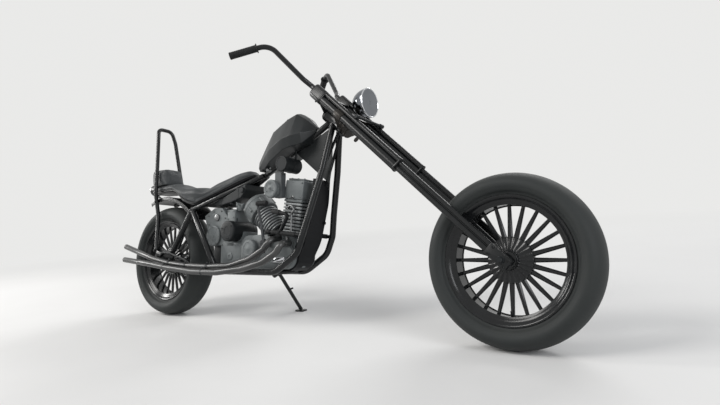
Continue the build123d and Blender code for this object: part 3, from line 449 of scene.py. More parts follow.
# Wheels: tyre, rim with blade spokes and fluted hub
def blades(shape, hub, count):
    """Flat tapered spokes with a raised middle, from the hub disc to the rim."""
    for a in turns(count):
        out, side = Vector((cos(a), 0, sin(a))), Vector((-sin(a), 0, cos(a)))
        rings = []
        for r, half, deep in ((78, 10, 7.5), (96, 9.3, 7), (150, 7.9, 6.4), (204, 6.5, 6), (212, 7.4, 7)):
            face = [(-half, -deep * 0.45), (-half * 0.55, -deep), (half * 0.55, -deep), (half, -deep * 0.45)]
            rings.append([hub + out * r + side * s + LEFT * y for s, y in face + [(-s, -y) for s, y in face]])
        shape.rings(rings)


def wheel(end, hub):
    profile = [(-52.7, 238), (52.7, 238), (53.2, 244)]
    for k in range(65):
        t = radians(-46 + 272 * k / 64)
        y, r, high = 80 * cos(t), 283.5 + 46.5 * sin(t), degrees(t)
        for mid in (-20, 200):
            if abs(high - mid) < 5:
                y *= 1 - 0.012 * cos((high - mid) / 5 * pi / 2)
        if abs(high + 33) < 4 or abs(high - 213) < 4:
            r -= 1.6
        if abs(high - 90) < 1.5:
            r -= 0.3
        profile.append((y, r))
    tyre = Shape().lathe(profile + [(-53.2, 244)], hub, LEFT, 144, closed=True)
    piece(f"{end}_tyre_skin", tyre, "tyre", f"{end}_tyre", f"{end}_wheel", angle=50)

    half = [(0, 236.6), (50, 236.6), (52.6, 238), (53.3, 241), (54.4, 243.4), (56, 243.9), (57.1, 242.4),
            (57.2, 238.5), (55.5, 235), (51.5, 230.5), (48.5, 226.5), (46.5, 224.5), (45.5, 221), (42.5, 216.5),
            (39.5, 210.5), (37.8, 206.8), (36, 206), (34.6, 207), (33.6, 209.4), (0, 209.4)]
    rim = Shape().lathe(half + [(-y, r) for y, r in reversed(half[1:-1])], hub, LEFT, 144, closed=True)
    rim.lathe([(0, 4), (14, 4), (15, 3.2), (24, 3.2), (25, 2)], hub + Vector((0, -14, -209)), (0, -0.35, 1), 14)
    blades(rim, hub, 24)
    section = ((10, 88), (13, 87), (14.2, 84), (24.5, 39), (25, 36.6), (39, 36), (40, 34.6), (40, 10.2))
    rings = []
    for side, y, r in [(1, *p) for p in reversed(section)] + [(-1, *p) for p in section]:
        flute = 3.2 if 38 < r < 86 else 0
        rings.append([hub + Vector((cos(a) * r, side * (y - flute * abs(sin(12 * a))), sin(a) * r))
                      for a in turns(144)])
    rim.rings(rings, loop=True)
    for side in (1, -1):
        rim.lathe([(0, 31), (2.5, 31), (3, 30), (3, 12)], hub + LEFT * side * 38.4, LEFT * side, 48)
    piece(f"{end}_rim", rim, "wheel_black", f"{end}_wheel", f"{end}_wheel")


wheel("front", FRONT_HUB)
wheel("rear", REAR_HUB)

# Sprocket on the rear wheel: toothed ring, arms and carrier
CHAIN_Y = 91.3
CHAIN_PITCH = 15.875


def toothed(shape, centre, teeth, tip, root, inner, low, high):
    steps = ((0.0, root), (0.22, root), (0.4, tip), (0.6, tip), (0.78, root))
    spots = [(2 * pi * (k + share) / teeth, r) for k in range(teeth) for share, r in steps]
    outer = [(cos(a) * r, sin(a) * r) for a, r in spots]
    hole = [(cos(a) * inner, sin(a) * inner) for a, _ in spots]
    shape.rings([[centre + Vector((a, y, b)) for a, b in outline]
                 for outline, y in ((outer, low), (outer, high), (hole, high), (hole, low))], loop=True)


sprocket = Shape()
toothed(sprocket, REAR_HUB, 48, 99.6, 93, 78, CHAIN_Y - 2.6, CHAIN_Y + 2.6)
for index in range(6):
    a = radians(60 * index + 30)
    out, tangent = Vector((cos(a), 0, sin(a))), Vector((-sin(a), 0, cos(a)))
    sprocket.rings([[REAR_HUB + out * r + tangent * s + LEFT * (CHAIN_Y + y)
                     for s, y in ((-half, -2.2), (half, -2.2), (half, 2.2), (-half, 2.2))]
                    for r, half in ((30, 13), (45, 9), (66, 9), (80, 14))])
    sprocket.bolt(REAR_HUB + out * 28 + LEFT * (CHAIN_Y + 2), LEFT, 10, 1)
sprocket.lathe([(40, 11), (94.2, 11), (94.2, 34), (93, 36), (88, 36), (86, 33), (46, 33), (42, 36), (40, 36)],
               REAR_HUB, LEFT, 60, closed=True)
piece("rear_sprocket", sprocket, "steel", body="rear_wheel", angle=30)

# Fuel tank, filler cap and fuel tap
TANK = ((800, 799, 40, 815, 50, 850, 46, 857), (861, 806, 66, 850, 78, 921, 58, 930),
        (914, 834, 84, 890, 97, 995, 60, 1004), (1016, 880, 98, 932, 111, 1047, 60, 1058),
        (1068, 893, 92, 945, 106, 1068, 50, 1077), (1122, 906, 70, 955, 84, 1034, 38, 1043),
        (1172, 966, 18, 976, 22, 988, 12, 993))
tank = Shape()
lofted(tank, TANK, [4, 6, 8, 8], 3, 0.3, 0.05)
piece("tank_skin", tank, "tank_paint", "fuel_tank", angle=20)
cap = Shape()
rings = []
for along, r, dip in ((-6, 27, 0), (0, 27, 0), (1.5, 26, 0), (2, 25.6, 1.2), (13, 25.2, 1.2), (15.6, 23.5, 0.8),
                      (17.2, 20, 0), (17.8, 12, 0), (18, 4, 0), (18, 0.5, 0)):
    reaches = [(a, r - dip * (1 + cos(20 * a)) / 2) for a in turns(120)]
    rings.append([Vector((985 + cos(a) * reach, sin(a) * reach, 1046 + along)) for a, reach in reaches])
cap.rings(rings)
piece("tank_cap_skin", cap, "tank_paint", "tank_cap", angle=35)
tap = Shape()
tap.tube([(872, -38, 822), (872, -38, 792)], 7, 0, 18)
tap.lathe([(-9, 9), (9, 9), (11, 7.5), (13, 7.5)], (872, -46, 798), RIGHT, 20)
tap.tube([(872, -58, 798), (872, -60, 776)], 3.4, 0, 12, 1, flat=0.5)
piece("fuel_tap", tap, "steel", angle=30)

# Frame tubes, plates and weld beads
NECK_X, NECK_Z = 1345, 953  # foot of the steering neck
STEER = -66  # the steering axis lies this far behind the fork's line
NECK = (NECK_Z - TYRE_R - STEER * cos(SLOPE)) / sin(SLOPE)  # the foot's distance up the fork
RAIL_Y = 114.0
HINGE = Vector((760, RAIL_Y + 38, 262))
HINGE_AXIS = Vector((0, cos(radians(27)), sin(radians(27))))
BACKBONE_REAR = Vector((803, 0, 782))
BACKBONE_FRONT = Vector((NECK_X - 83, 0, NECK_Z + 58))
CRADLE = ((1286, 26, 985), (1249, 59, 762), (1200, 93, 555), (1176, RAIL_Y, 448), (1140, RAIL_Y, 358),
          (1000, RAIL_Y, 270), (556, RAIL_Y, 270), (60, RAIL_Y, 322))

spine = Shape()
spine.tube([BACKBONE_FRONT, BACKBONE_REAR], 16, 0, 40)
for distance in (14, -8):
    bead(spine, BACKBONE_FRONT, BACKBONE_REAR, distance, 16)
piece("backbone_tube", spine, "frame_black", "backbone", angle=50)
for name, sign in (("left", 1), ("right", -1)):
    side = Shape()
    side.tube([mirror(p, sign) for p in CRADLE], 16, (200, 200, 100, 90, 120, 200), 40)
    bead(side, mirror((1283.5, 28, 970), sign), mirror((1280.5, 31, 949), sign), 0, 16)
    plate(side, hull(((0, TYRE_R, 30), (141, 352, 24), (11, 388, 16))), -5, 5, (0, sign * RAIL_Y, 0), AHEAD, UP, 1.2)
    bead(side, mirror((84, RAIL_Y, 319.5), sign), mirror((-412, RAIL_Y, 371.5), sign), 0, 15, 2.2)
    for x, z in ((11, 388), (141, 352)):
        side.bolt((x, sign * (RAIL_Y - 5), z), LEFT * -sign, 13, 5)
    if name == "left":
        side.tube([HINGE - HINGE_AXIS * 40, HINGE + HINGE_AXIS * 16], 7, 0, 24)
        side.tube([HINGE - HINGE_AXIS * 40, HINGE - HINGE_AXIS * 13.1], 14, 0, 36, 1.5)
        side.bolt(HINGE + HINGE_AXIS * 14.5, HINGE_AXIS, 15, 6)
        bead(side, HINGE - HINGE_AXIS * 27, HINGE, 0, 14)
    piece(f"cradle_{name}_tube", side, "frame_black", f"cradle_{name}", angle=40)
rails, posts, stays, crossers = Shape(), Shape(), Shape(), Shape()
for sign in (1, -1):
    start = Vector((803, sign * 12, 782))
    corner, foot, low = [mirror((x, RAIL_Y, z), sign) for x, z in ((325, 617), (141, 362), (556, 274))]
    rails.tube([start, corner], 14, 0, 32)
    bead(rails, start, corner, 26, 14)
    stays.tube([corner, foot], 16, 0, 36)
    stays.lathe([(-1, 16.6), (3, 16.6), (3, 14)], corner, LEFT * sign, 36)
    posts.tube([corner + (low - corner).normalized() * 9, low], 16, 0, 36)
    for shape, end, distance in ((stays, foot, 19), (stays, foot, -4), (posts, low, 20), (posts, low, -17)):
        bead(shape, corner, end, distance, 16)
piece("seat_rail_tubes", rails, "frame_black", "seat_rails", angle=50)
piece("seat_post_tubes", posts, "frame_black", "seat_posts", finish="wheel_black", angle=50)
piece("upper_stay_tubes", stays, "frame_black", "upper_stays", angle=40)
for x in (960, 640):
    crossers.tube([(x, -RAIL_Y, 270), (x, RAIL_Y, 270)], 12.5, 0, 32)
    for sign in (1, -1):
        spot = Vector((x, sign * (RAIL_Y - 17), 270))
        bead(crossers, spot, spot + LEFT, 0, 12.5, 2)
piece("cross_tube_pair", crossers, "frame_black", "cross_tubes", angle=50)

# Neck, its gusset and the chin panel
neck = Shape()
neck.lathe([(0, 15.2), (0, 38.5), (1.5, 40), (16, 40), (17, 39.2), (18.5, 38), (20, 37), (70, 36.6), (126, 37),
            (127.5, 38), (129, 39.2), (130, 40), (144.5, 40), (146, 38.5), (146, 15.2)], fork(NECK, STEER), ALONG, 72,
           closed=True)
for distance in (24, 122):
    bead(neck, fork(NECK, STEER), fork(NECK + 146, STEER), distance, 36.6, 1.6)
piece("neck_tube", neck, "frame_black", "steering_neck", angle=35)
gusset = Shape().prism([(1262, 982), (1028, 877), (1246, 700), (1262, 800)], -2.5, 2.5)
piece("gusset_plate", gusset, "tank_paint", "neck_gusset", bevel=0.8, angle=38)
chin = Shape()
line = path([(x, 0, z) for x, z in ((1203, 722), (1196, 611), (1150, 421), (1108, 349), (1102, 318), (1080, 292),
                                    (1050, 276))], (260, 200, 60, 40, 60), 3)
rings = []
for before, p, after in zip([line[0], *line], line, [*line[1:], line[-1]]):
    inward = (after - before).normalized().cross(LEFT)
    inward *= -1 if inward.x > 0 else 1
    rings.append([p + LEFT * y + inward * deep for y, deep in (
        (-58, 0), (58, 0), (58, 13), (55.2, 13), (55.2, 2.8), (-55.2, 2.8), (-55.2, 13), (-58, 13))])
chin.rings(rings)
for sign in (1, -1):
    chin.tube([(NECK_X - 39, sign * 9, NECK_Z - 9), (1199, sign * 36, 708)], 7, 0, 20)
    chin.bolt((1199.5, sign * 44, 690), (1, 0, 0.06), 11, 4)
    chin.bolt((1177, sign * 50, 512), (1, 0, -0.24), 11, 4)
piece("chin_plate", chin, "panel_black", "chin_panel", bevel=0.8, angle=38)

# Fork: paired tubes, covers with caps and collars, trees, axles
FORK_Y = 98
for name, sign in (("left", 1), ("right", -1)):
    y = sign * FORK_Y
    leg = Shape()
    leg.tube([fork(40, -10, y), fork(NECK - 400, -10, y)], 12, 0, 32)
    leg.tube([fork(40, 13, y), fork(NECK - 400, 13, y)], 10, 0, 32)
    leg.rings([[fork(at, a, y + b) for a, b in ((-1.5, -4), (5.5, -4), (5.5, 4), (-1.5, 4))]
               for at in (50, NECK - 404)])
    plate(leg, oblong((-32, 68), (-23, 23), 5, 4, 0.8), -13.5, 13.5, fork(0, 0, y), ALONG, OFF, 1.2)
    for at in (-22, 52):
        for offset in (-15, 15):
            leg.cap_screw(fork(at, offset, y + sign * 12.5), LEFT * sign, 5, 4)
    piece(f"fork_leg_{name}_tubes", leg, "frame_black", f"fork_leg_{name}", "fork", angle=35)
    cover = Shape()
    low = NECK - 414
    cover.tube([fork(low, -10.5, y), fork(NECK + 141, -10.5, y)], 20.5, 0, 44, 1.5)
    cover.tube([fork(low, 21, y), fork(NECK + 141, 21, y)], 12, 0, 32, 1.5)
    for at, wide in ((low, 9), (NECK + 133, 6)):
        plate(cover, hull(((-10.5, 0, 22), (21, 0, 13.4))), 0, wide, fork(at, 0, y), OFF, LEFT, 1.2)
    cap_outline = hull(((-14, 0, 24), (19, 0, 15)))
    cover.rings([[fork(NECK + 139 + along, a, y + b) for a, b in cap_outline(inset)] for along, inset in (
        (0, 1.5), (1.2, 0.3), (3, 0), (6, 0), (7, 1.4), (9, 1.4), (10, 0), (70, 0), (74, 0.8), (77.5, 2.6),
        (80, 5.4), (81.6, 9), (82, 11))])
    piece(f"fork_cover_{name}_skin", cover, "frame_black", f"fork_cover_{name}", "fork", angle=35)

tree = Shape()
plate(tree, hull(((-10.5, FORK_Y, 22), (-10.5, -FORK_Y, 22), (STEER, 0, 22)), 96), -12, 0, fork(NECK + 146.4, 0), OFF,
      LEFT, 2)
tree.lathe([(10, 15), (12, 17), (22, 17), (23.5, 15.5), (23.5, 9), (27, 9), (28, 8)], fork(NECK + 146.4, STEER),
           ALONG, 6)
for sign in (1, -1):
    tree.cap_screw(fork(NECK + 152, -34, sign * 118), LEFT * sign, 4, 4)
piece("upper_tree_plate", tree, "frame_black", "upper_tree", "fork", angle=30)
tree = Shape()
plate(tree, hull(((-10.5, FORK_Y, 24), (-10.5, -FORK_Y, 24), (STEER, 0, 30)), 96), 0, 52, fork(NECK - 28, 0), OFF,
      LEFT, 4)
tree.lathe([(-30, 27), (-6, 27), (-5, 30), (-1, 30), (-0.4, 29)], fork(NECK, STEER), ALONG, 60)
tree.lathe([(-3, 14), (0, 14)], fork(NECK - 82, STEER), ALONG, 40)
for sign in (1, -1):
    for at in (-42, -66):
        tree.cap_screw(fork(NECK + at, -30, sign * 115), LEFT * sign, 4.5, 5)
piece("lower_tree_casting", tree, "tree_metal", "lower_tree", "fork", angle=30)

for end, hub, face, body in (("front", FRONT_HUB, 111.5, "fork"), ("rear", REAR_HUB, 119, "chassis")):
    axle = Shape()
    axle.tube([hub - LEFT * (face + 20), hub + LEFT * (face + 20)], 10, 0, 32, 1.5)
    for sign in (1, -1):
        for profile, segments in (([(0, 15), (2, 15), (2.4, 14)], 32), ([(2, 15), (10, 15), (12, 13.2), (12, 10)], 6)):
            axle.lathe(profile, hub + LEFT * face * sign, LEFT * sign, segments)
        inner = 40.5 if end == "front" or sign < 0 else 95
        outer = 84.2 if end == "front" else 108.8
        axle.lathe([(inner, 15), (inner + 1, 16), (outer - 1, 16), (outer, 15)], hub, LEFT * sign, 40)
    piece(f"{end}_axle_set", axle, "steel", f"{end}_axle", body, "engine_dark")

# Handlebars and grips
bars, grips = Shape(), Shape()
for sign in (1, -1):
    root = fork(NECK + 221, 4, sign * FORK_Y)
    points = [root, fork(NECK + 245, 4, sign * FORK_Y)]
    points += [root + Vector((-back, sign * out, rise))
               for back, out, rise in ((43, 34, 46), (190, 126, 226), (335, 241, 164))]
    bars.tube(points, 12.7, (26, 60, 80), 36, 1.2)
    bars.lathe([(-4, 17), (3, 17), (4.5, 15.5), (4.5, 12)], root, ALONG, 36)
    run = points[-1] - points[-2]
    begin = points[-2] + run * 0.3
    length = (points[-1] - begin).length + 5
    grips.lathe([(0, 13), (0, 22), (1, 23), (4, 23), (5, 22), (6.5, 18.6)]
                + ribs(9, length - 14, 6.2, 17.9, 17.0, (1.1, 2.6, 3.7))
                + [(length - 9, 18), (length - 3, 18), (length - 0.8, 16.6), (length, 13.5), (length, 6),
                   (length - 1.5, 5), (length - 1.5, 0.4)], begin, run, 44)
piece("handlebar_pair", bars, "frame_black", "handlebars", "fork", angle=40)
piece("grip_pair", grips, "grip_rubber", "grips", "fork")

# Headlight: rim, bowl, reflector, ribbed glass and bracket
BRACKET = fork(NECK - 91, 40.3)
LAMP = BRACKET + Vector((-4, 0, 91))
bezel = Shape()
bezel.lathe([(3, 64.6), (6.2, 64.6), (7.4, 66), (7.4, 68.4), (6, 70), (3, 70.2)], LAMP, AHEAD, 96, closed=True)
for y, z in ring_of((0, 0), 67.3, range(15, 375, 30)):
    bezel.cap_screw(LAMP + Vector((6.6, y, z)), AHEAD, 1.6, 2)
piece("lamp_rim", bezel, "chrome", body="fork")
bowl = Shape()
bowl.lathe([(6, 66.5), (6, 69), (5, 70), (2, 70), (0, 69.4), (-2.2, 68.3), (-3, 68.8), (-4.4, 69), (-6, 68.6)]
           + [(-83 * sin(a), max(0.5, 70 * cos(a) * 0.985)) for a in (radians(5 + 85 * k / 14) for k in range(1, 15))],
           LAMP, AHEAD, 96)
bowl.bolt(LAMP + Vector((3, -8, -70)), LEFT, 7, 5)
piece("lamp_bowl", bowl, "chrome", "headlight_shell", "fork", "lamp_chrome", angle=40)
inner = Shape()
inner.lathe([(-44, 5)] + [(-44 + 46 * (r / 66) ** 2, r) for r in range(8, 67, 4)] + [(2, 66.3)], LAMP, AHEAD, 72)
inner.lathe([(-44, 6), (-20, 6), (-16, 4), (-15, 0.4)], LAMP, AHEAD, 24)
piece("lamp_reflector", inner, "chrome", body="fork", finish="lamp_chrome", angle=50)
LENS_R = 66.6
rings = []
for r in [0.3] + [LENS_R * step / 12 for step in range(1, 13)]:
    front = 1.2 + 4.4 * (1 - (r / LENS_R) ** 2)
    rib = 0.55 if r < 58 else 0
    rings.append([LAMP + Vector((front + rib * cos(cos(a) * r * 0.75), cos(a) * r, sin(a) * r)) for a in turns(96)])
piece("lamp_glass_disc", Shape().rings(rings), "lens", "headlight_lens", "fork", angle=40)
bracket = Shape()
bracket.tube([BRACKET - LEFT * FORK_Y, BRACKET + LEFT * FORK_Y], 7, 0, 24)
for sign in (1, -1):
    bracket.lathe([(-13, 9), (-12, 10), (12, 10), (13, 9)], BRACKET + LEFT * sign * FORK_Y, LEFT, 28)
bracket.tube([BRACKET, LAMP + Vector((-7, 0, -69))], 6, 0, 20)
bracket.bolt(LAMP + Vector((-7, 0, -66)), (0.05, 0, -1), 12, 7)
piece("lamp_bracket", bracket, "steel", "headlight_bracket", "fork", "engine_dark", angle=35)

# Sissy bar, rear fender and tail lamp
loop = [(11, 131, 388), (-35, 98.8, 600), (-77, 98.8, 745), (-104, 80, 925), (-135, 62, 1105), (-160, 47, 1183)]
bends = (120, 120, 200, 200, 35)
sissy = Shape()
sissy.tube(loop + [(x, -y, z) for x, y, z in reversed(loop)], 12, bends + bends[::-1], 34, 1.2)
for sign in (1, -1):
    sissy.bolt((11, sign * 142, 388), LEFT * sign, 14, 7)
    sissy.bolt((-60, sign * 110, 690), LEFT * sign, 11, 5)
piece("sissy_loop", sissy, "frame_black", "sissy_bar", angle=40)
half = [(81.8, 363.5), (84, 362.6), (86.2, 363.5), (86.5, 366), (86.5, 378), (86, 381.6), (84.4, 384.6),
        (81.6, 386.8), (78, 387.8), (60, 388)]
section = ([(-y, r) for y, r in half] + [(0, 388)] + half[::-1]
           + [(81.5, 378), (79, 382), (76, 383), (-76, 383), (-79, 382), (-81.5, 378)])
fender = Shape()
rings = []
for k in range(75):
    a = radians(38 + k)
    narrow = 1 - max(0, 1 - min(k, 74 - k) / 3) ** 2 / 30
    rings.append([REAR_HUB + Vector((cos(a) * r, y * narrow, sin(a) * r)) for y, r in section])
fender.rings(rings)
for sign in (1, -1):
    fender.bolt((264, sign * 60, TYRE_R + 284), (cos(0.82), 0, sin(0.82)), 10, 4)
piece("fender_shell", fender, "frame_black", "rear_fender", angle=30)
TAIL = Vector((0, 0, 786))
tail_up = Vector((-sin(radians(17)), 0, cos(radians(17))))
tail_root = REAR_HUB + tail_up * 388
tail = Shape()
tail.lathe([(-196, 8), (-196, 22), (-200, 32), (-205, 36), (-232, 36), (-234, 34.6), (-236, 36), (-240, 36),
            (-241, 35), (-241, 10)], TAIL, AHEAD, 64)
tail.tube([tail_root, (-223, 0, TAIL.z - 32)], 7, 0, 24)
tail.lathe([(-3, 15), (2.5, 15), (3.5, 13.5), (3.5, 7)], tail_root, tail_up, 32)
piece("tail_lamp_body", tail, "frame_black", "tail_lamp")
bezel = Shape().lathe([(-238, 33), (-241, 36.2), (-245, 36.2), (-246, 35), (-246, 31), (-243, 30)], TAIL, AHEAD, 64,
                      closed=True)
piece("tail_lamp_rim", bezel, "chrome")
red = Shape().lathe([(-240, 31)] + [(-241.5 - 4.4 * cos(radians(r * 2.9)) + (0.5 if r % 4 else 0), r)
                                    for r in range(30, 0, -2)] + [(-246, 0.3)], TAIL, AHEAD, 64)
piece("tail_lamp_lens", red, "lens", finish="red_glass", angle=40)


# Seat and backrest: leather pads swollen by a cloth run, with piping and a pan
def settle(thing):
    """Turns the shown mesh into the thing's own and drops its modifiers."""
    graph = bpy.context.evaluated_depsgraph_get()
    graph.update()
    mesh = bpy.data.meshes.new_from_object(thing.evaluated_get(graph))
    mesh.name = thing.data.name + "_set"
    thing.modifiers.clear()
    thing.data = mesh


def soft_piece(name, shape, stands_for, voxel, cap_mm, pinned):
    """Voxel mesh of the pad, blown up a little as cloth, each point's travel capped."""
    thing = made(name, shape)
    mod = thing.modifiers.new("voxel", "REMESH")
    mod.mode = "VOXEL"
    mod.voxel_size = voxel / 1000
    settle(thing)
    start = [v.co.copy() for v in thing.data.vertices]
    group = thing.vertex_groups.new(name="pinned")
    group.add([i for i, co in enumerate(start) if pinned(PLACE.inverted() @ co)], 1.0, "REPLACE")
    cloth = thing.modifiers.new("cloth", "CLOTH")
    cloth.settings.use_pressure = True
    cloth.settings.uniform_pressure_force = 4
    cloth.settings.effector_weights.gravity = 0
    cloth.settings.quality = 4
    cloth.settings.tension_stiffness = 12
    cloth.settings.compression_stiffness = 12
    cloth.settings.bending_stiffness = 0.6
    cloth.settings.vertex_group_mass = "pinned"
    cloth.point_cache.frame_start = 1
    cloth.point_cache.frame_end = 20
    for moment in range(1, 21):
        scene.frame_set(moment)
    settle(thing)
    for v, was in zip(thing.data.vertices, start):
        move = v.co - was
        if move.length > cap_mm / 1000:
            v.co = was + move * (cap_mm / 1000 / move.length)
    scene.frame_set(1)
    thing.vertex_groups.clear()
    even = thing.modifiers.new("even", "SMOOTH")
    even.factor = 0.5
    even.iterations = 3
    settle(thing)
    dress(thing, "seat_cover", stands_for, "chassis", None, 180)
    mod = thing.modifiers.new("smooth", "SUBSURF")
    mod.levels = mod.render_levels = 1


def rail_top(x):
    return 617 + (782 - 617) / (803 - 325) * (x - 325) + 15.4


# Where a row's bottom is 0, it lies on the rails
SEAT = ((742, 0, 22, 783, 28, 789, 22, 792), (705, 0, 42, 792, 54, 812, 44, 820), (650, 0, 58, 785, 72, 801, 60, 813),
        (575, 0, 70, 758, 86, 779, 74, 794), (481, 0, 88, 728, 106, 752, 92, 769),
        (410, 0, 104, 704, 126, 724, 110, 742), (345, 0, 118, 712, 146, 738, 130, 748),
        (236, 672, 118, 718, 146, 744, 128, 752), (140, 731, 100, 750, 122, 772, 108, 778),
        (60, 745, 90, 768, 102, 793, 92, 798), (-165, 748, 58, 770, 67, 797, 60, 800))
seat_rows = [(x, bottom or rail_top(x), *others) for x, bottom, *others in SEAT]
pad_rows = [(x, bottom + 12, bottom_half + 3, *others) for x, bottom, bottom_half, *others in seat_rows]
pad_rows[0] = (739, *pad_rows[0][1:])
pad = Shape()
pad_floor = {round(ring[0].x): min(p.z for p in ring) for ring in lofted(pad, pad_rows, [8, 22, 20, 30], 5, 3.5, 0.8)}


def on_pan(p):
    near = min(sorted(pad_floor), key=lambda x: abs(x - p.x))
    return p.z < pad_floor[near] + 5


soft_piece("seat_pad", pad, "seat", 6, 7, on_pan)
rings = []
for x, bottom, bottom_half, *_ in smooth_rows(seat_rows, 4, 0.8):
    half = [(bottom_half - 5, bottom + 0.3), (bottom_half + 1, bottom + 6), (bottom_half + 1, bottom + 15)]
    rings.append([Vector((x, y, z)) for y, z in half + [(-y, z) for y, z in reversed(half)]])
piece("seat_pan", Shape().rings(rings), "panel_black", angle=30)
edge = Shape()
for sign in (1, -1):
    edge.tube([(x, sign * (bottom_half + 3.4), bottom + 15)
               for x, bottom, bottom_half, *_ in smooth_rows(seat_rows, 3, 0.8)], 3, 0, 10, 0.5)
piece("seat_piping", edge, "seat_cover", finish="piping", angle=60)
rings = []
for z, front, rear, half in ((799, -12, -163, 71), (806, -11, -168, 72.5), (830, -18, -178, 71), (860, -25, -184, 69),
                             (890, -32, -188, 66), (902, -40, -186, 61)):
    outline = [(front - 3, half - 4), (rear + 3, half - 4), (rear + 3, 4 - half), (front - 3, 4 - half)]
    rings.append([Vector((x, y, z)) for x, y in soften(outline, [16] * 4)])
soft_piece("backrest_pad", Shape().rings(rings), "backrest", 5, 6, lambda p: p.z < 803)

# Engine: crankcase halves, covers, gearbox and starter
CASE = oblong((705, 1096), (282.8, 462), 60, 10)
GEAR_COVER = ((985, 398, 52), (1052, 372, 40), (915, 402, 46))
PRIMARY = ((992, 378, 80), (778, 378, 66))
case = Shape()
across(case, lambda inset: CASE(2.5 + inset), -80, -3, 6)
across(case, lambda inset: CASE(2.5 + inset), 3, 80, 6)
across(case, CASE, -7, 7)
across(case, hull(GEAR_COVER, 96), -86.5, -76, 3)
across(case, hull(PRIMARY, 120), 76, 96, 7)
across(case, lambda inset: hull(PRIMARY, 120)(inset - 4), 78, 82)
case.screws(hull(GEAR_COVER, 12)(8), -85.5, -1, 4, 4)
case.screws(hull(PRIMARY, 14)(9), 95, 1, 4.5, 4)
case.lathe([(95, 40), (96, 43), (99, 43), (100.5, 41), (101, 36), (101, 0.5)], (992, 0, 378), LEFT, 60)
case.screws(ring_of((992, 378), 33, range(20, 380, 72)), 100.5, 1, 3.5, 3)
for x, z in CASE(-3)[::5]:
    case.lathe([(-10, 5), (-9, 6.4), (9, 6.4), (10, 5)], (x, 0, z), LEFT, 16)
for x, z in ((1000, 440), (1064, 412)):
    case.lathe([(78, 23), (84, 23), (86, 21), (86, 17)], (x, 0, z), RIGHT, 40)
    for sign in (1, -1):
        case.bolt((x + sign * 22, -84, z + sign * 6), RIGHT, 9, 7)
piece("crankcase_halves", case, "engine_grey", "crankcase")

disc = Shape()
disc.lathe([(78, 40), (78, 48), (84, 48), (85, 46.6), (87, 46.6), (88, 48), (106, 48), (109.5, 46.5), (112, 43.5),
            (113.4, 39), (114, 33), (112.6, 31), (112.6, 12), (113.6, 10), (114, 0.5)], (800, 0, 388), RIGHT, 84)
disc.screws(ring_of((800, 388), 40, range(15, 375, 60)), -110.5, -1, 3.6, 3)
piece("round_cover_cap", disc, "engine_grey", "round_cover")

box = Shape()
across(box, oblong((540, 704), (282.8, 425), 12, 5, 0.5), -75, 75, 4)
across(box, oblong((585, 650), (402, 604), 7, 4, 0.5), -75, 40, 5)
across(box, oblong((586, 703), (406, 484), 7, 4, 0.5), -60, 45, 3)
box.lathe([(-30, 58), (80, 58), (82, 57.2), (83.6, 55), (84, 52), (84, 47), (82.5, 46), (82.5, 30), (84, 29),
           (84, 14), (86, 13), (86, 0.5)], (478, 0, 464), RIGHT, 84)
box.screws(ring_of((478, 464), 51, [51.4 * k + 100 for k in range(7)]), -82, -1, 3.6, 4)
for spot in ((552, 295), (552, 412), (692, 295), (692, 412), (620, 295)):
    for side in (-1, 1):
        box.screws([spot], 74 * side, side, 4.2, 4)
box.screws(((596, 596), (640, 596), (596, 552), (640, 560)), -74, -1, 4, 4)
box.lathe([(74, 20), (79, 20), (80, 18), (80, 9), (77, 8), (77, 0.5)], (618, 0, 350), RIGHT, 32)
piece("gearbox_case", box, "engine_grey", "gearbox")
upper = Shape().prism(((412, 500), (384, 580), (470, 621), (537, 619), (586, 566), (592, 410), (500, 410)), -65, 72)
piece("gearbox_upper", upper, "engine_grey", bevel=5, steps=3, angle=30)
plug = Shape()
plug.screws(((424, 578), (466, 600), (532, 600), (566, 560), (430, 528)), -71, -1, 4.4, 5)
plug.lathe([(0, 19), (6, 19), (8, 17), (9, 12), (9, 0.5)], (500, -72, 566), RIGHT, 36)
plug.lathe([(-2, 13), (7, 13), (9, 11), (9, 0.5)], (505, -20, 618), UP, 6)
piece("gearbox_fittings", plug, "steel", angle=30)

mount = Shape()
across(mount, oblong((468, 548), (286, 436), 10), -62, -54, 2)
across(mount, oblong((468, 548), (286, 436), 10), 54, 62, 2)
across(mount, oblong((496, 532), (290, 430), 6, 4), -56, 56, 2)
for x, z in ((482, 302), (482, 420), (534, 302)):
    for sign in (1, -1):
        mount.bolt((x, sign * 61, z), LEFT * sign, 11, 6)
piece("gearbox_mount", mount, "panel_black", finish="engine_dark")
sump = Shape()
across(sump, lambda inset: soften([(946 + inset, 318 + inset), (1030 - inset, 318 + inset), (1044 - inset, 346 - inset),
                                   (976 + inset, 342 - inset)], [8] * 4), -92, -78, 2.5)
piece("sump_plate", sump, "chrome")

starter = Shape()
starter.lathe([(-45, 50), (-45, 55), (-43, 56), (-20, 56), (-19, 54.8), (96, 54.8), (97, 56), (118, 56), (121.5, 55),
               (124, 52.4), (125, 49), (125, 24), (123.6, 22), (123.6, 0.5)], (646, 0, 484), RIGHT, 96)
starter.screws(ring_of((646, 484), 41, range(40, 400, 120)), -124, -1, 4, 3.5)
starter.tube([(646, -60, 540), (646, -60, 556)], 6, 0, 16)
starter.bolt((646, -60, 553), UP, 9, 6)
piece("starter_can", starter, "engine_dark", "starter_motor")

